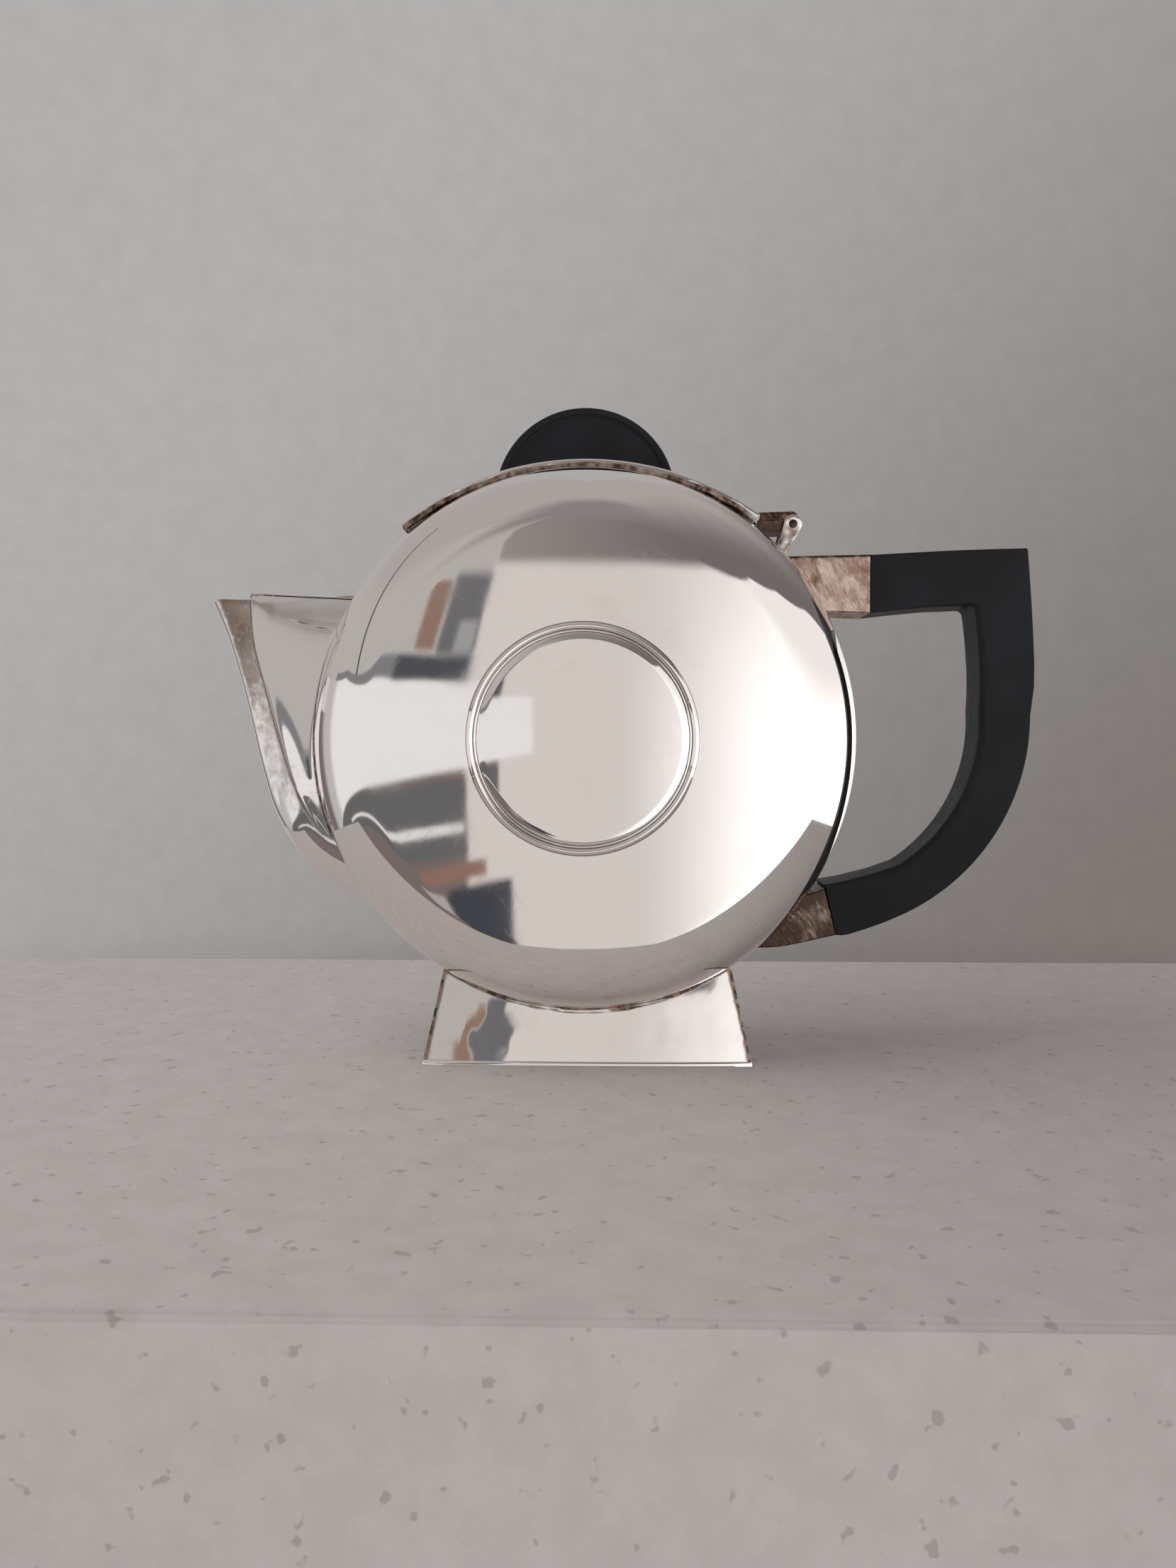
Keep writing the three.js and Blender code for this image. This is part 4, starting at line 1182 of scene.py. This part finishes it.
def make_ear(name, node_name):
    low, high = box_mm(node_name)
    middle, half = (low[1] + high[1]) / 2, (high[1] - low[1]) / 2
    head = arc(HINGE_X, HINGE_Z, EAR_R, -25, 160, 20)
    outline = [*head, *EAR_FOOT]
    piece = slice_faces(block(name, outline, half, 0.45, 4, middle), 0.45)

    def darkening(x, y, z):
        face = smoothstep(half - 0.2, half - 0.05, abs(y - middle))
        return face * (0.42 + 0.3 * rough(x, y, z, 2, 3.9)) + 0.25 * smoothstep(150, 146.5, z)

    finish_piece(piece, polished, node_name, tarnish_and_shade=darkening)


def make_hinge_pin():
    piece = rod("pin_rod", HINGE_X, HINGE_Z, PIN_R, PIN_HALF_Y, 0.35)
    finish_piece(piece, tarnished, "hinge_pin", tarnish_and_shade=lambda x, y, z: 0.85)


make_knuckle()
make_ear("front_ear", "hinge_ear_front")
make_ear("back_ear", "hinge_ear_back")
make_hinge_pin()

# ---- Finial ----


def make_finial():
    half, outer = FINIAL_HALF_Y, FINIAL_R
    inner = outer - FINIAL_RIM
    line = [
        (0, half - 0.62), (inner - 6, half - 0.75), (inner - 0.9, half - 1.0), (inner - 0.35, half - 0.95),
        (inner - 0.1, half - 0.6), (inner + 0.15, half - 0.18), (inner + 0.45, half), (outer - 0.8, half),
    ]
    for angle in np.radians(np.linspace(75, 0, 6)):
        line.append((outer - 0.7 + 0.7 * math.cos(angle), half - 0.7 + 0.7 * math.sin(angle)))
    section = [(r, -y) for r, y in line] + [(r, y) for r, y in line[::-1]]
    piece = turned("half_disc_knob", section, FINIAL_Z)
    under = block("lid_tool", [*arc(0, LID_Z, LID_R + 0.06, 150, 30, 200), (60, 60), (-60, 60)], 20, 0.1, 1)
    carve(piece, under)
    finish_piece(piece, ebony, "finial", body="lid")


make_finial()

# ---- Handle ----


def grip_outline():
    """Outline points with the bevel that each one's edge has."""
    def with_bevel(bevel, points):
        return [(x, z, bevel) for x, z in points]

    top = [(GRIP_TOP_X, GRIP_TOP_HIGH, 0.25), (83, 144.9, 0.7), (93, 145.4, 0.5), (106, 146, 0.5)]
    corner = with_bevel(0.5, [(116, 146.3), *arc(125.6, 145.9, 0.6, 88, 8, 5)])
    back = with_bevel(0.5, [(126.7, 140), (127.4, 131), (128, 122), (128.4, 114), (128.4, 107)])
    outer = with_bevel(0.5, arc(65, 98.1, 62.4, 0.6, -65, 60))
    foot = [(86, 39.2, 0.5), (81, 37.4, 0.5), (76, 35.8, 0.6), (74, 35.5, 0.5), (72.5, 35.7, 0.25)]
    return_side = [(69.2, 50.2, 0.25), (70.5, 50.5, 0.5), (75, 51.3, 1.0), (84, 53.7, 1.6)]
    bow = arc(64.5, 97, 48.6, -57, 4, 56)
    inner = with_bevel(2.0, [*bow, (113.25, 106), (113.2, 111.9), (112.6, 120.4)])
    crook = [(111.9, 127, 1.8), *with_bevel(1.5, arc(109.9, 128.5, 1.8, 0, 90, 6))]
    under = [(105, 130.1, 1.3), (100, 130, 1.1), (90, 129.1, 0.7), (GRIP_TOP_X, GRIP_TOP_LOW, 0.25)]
    return [*top, *corner, *back, *outer, *foot, *return_side, *inner, *crook, *under]


def make_grip():
    points = grip_outline()
    piece = block("d_grip", [p[:2] for p in points], GRIP_HALF_Y, [p[2] for p in points], 5)
    finish_piece(piece, ebony, "handle_grip")


def socket_dirt(x, y, z):
    body = 0.75 * smoothstep(1.2, 0.1, abs(body_depth(x, y, z)))
    return max(body, 0.10 + 0.25 * rough(x, y, z, 7, 3.3))


def edge_point(z):
    """The point just inside the body's round edge, on the handle's side, at a height."""
    return (math.sqrt(DISC_R ** 2 - (z - DISC_Z) ** 2) - 0.4, z)


def make_upper_socket():
    right = GRIP_TOP_X - 0.12
    low, high = GRIP_TOP_LOW, GRIP_TOP_HIGH
    inner = [edge_point(z) for z in np.linspace(low + 0.5, high - 0.5, 12)]
    outline = [(right, low), (right, high), *inner[::-1]]
    piece = slice_faces(block("top_socket", outline, SOCKET_HALF_Y - 0.05, 0.5), 1.1)

    def darkening(x, y, z):
        line = 0.8 * smoothstep(1.5, 0.9, high - z) * (0.75 + 0.5 * rough(x, y, z, 2.5, 6.6))
        return max(socket_dirt(x, y, z), line)

    finish_piece(piece, tarnished, "upper_socket", tarnish_and_shade=darkening)


def make_lower_socket():
    outline = [
        (72.3, 35.75), (69.0, 49.2), (64.3, 47.6), (58, 46.2), (52.5, 39.5), (47, 32.2), (50.2, 32.0),
        (53.2, 32.05), (56.2, 32.3), (58.6, 32.7), (61, 33.2), (63.8, 33.75), (66.4, 34.4), (69.4, 35.1),
    ]
    piece = slice_faces(block("low_socket", outline, SOCKET_HALF_Y - 0.05, 0.45), 1.1)
    finish_piece(piece, tarnished, "lower_socket", tarnish_and_shade=lambda x, y, z: socket_dirt(x, y, z) + 0.52)


def make_handle_pin(name, node_name, place, dark):
    piece = rod(name, place[0], place[1], HANDLE_PIN_R, SOCKET_HALF_Y - 0.04, 0.05)
    finish_piece(piece, tarnished, node_name, tarnish_and_shade=lambda x, y, z: dark + 0.35 * rough(x, y, z, 7, 3.3))


make_grip()
make_upper_socket()
make_lower_socket()
make_handle_pin("top_pin", "upper_handle_pin", UPPER_PIN, 0.28)
make_handle_pin("low_pin", "lower_handle_pin", LOWER_PIN, 0.68)

# ---- CAD pieces that stay ----

for name in ("finial_stud", "finial_washer", "finial_nut"):
    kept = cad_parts[name]
    kept.data.materials.clear()
    kept.data.materials.append(polished)
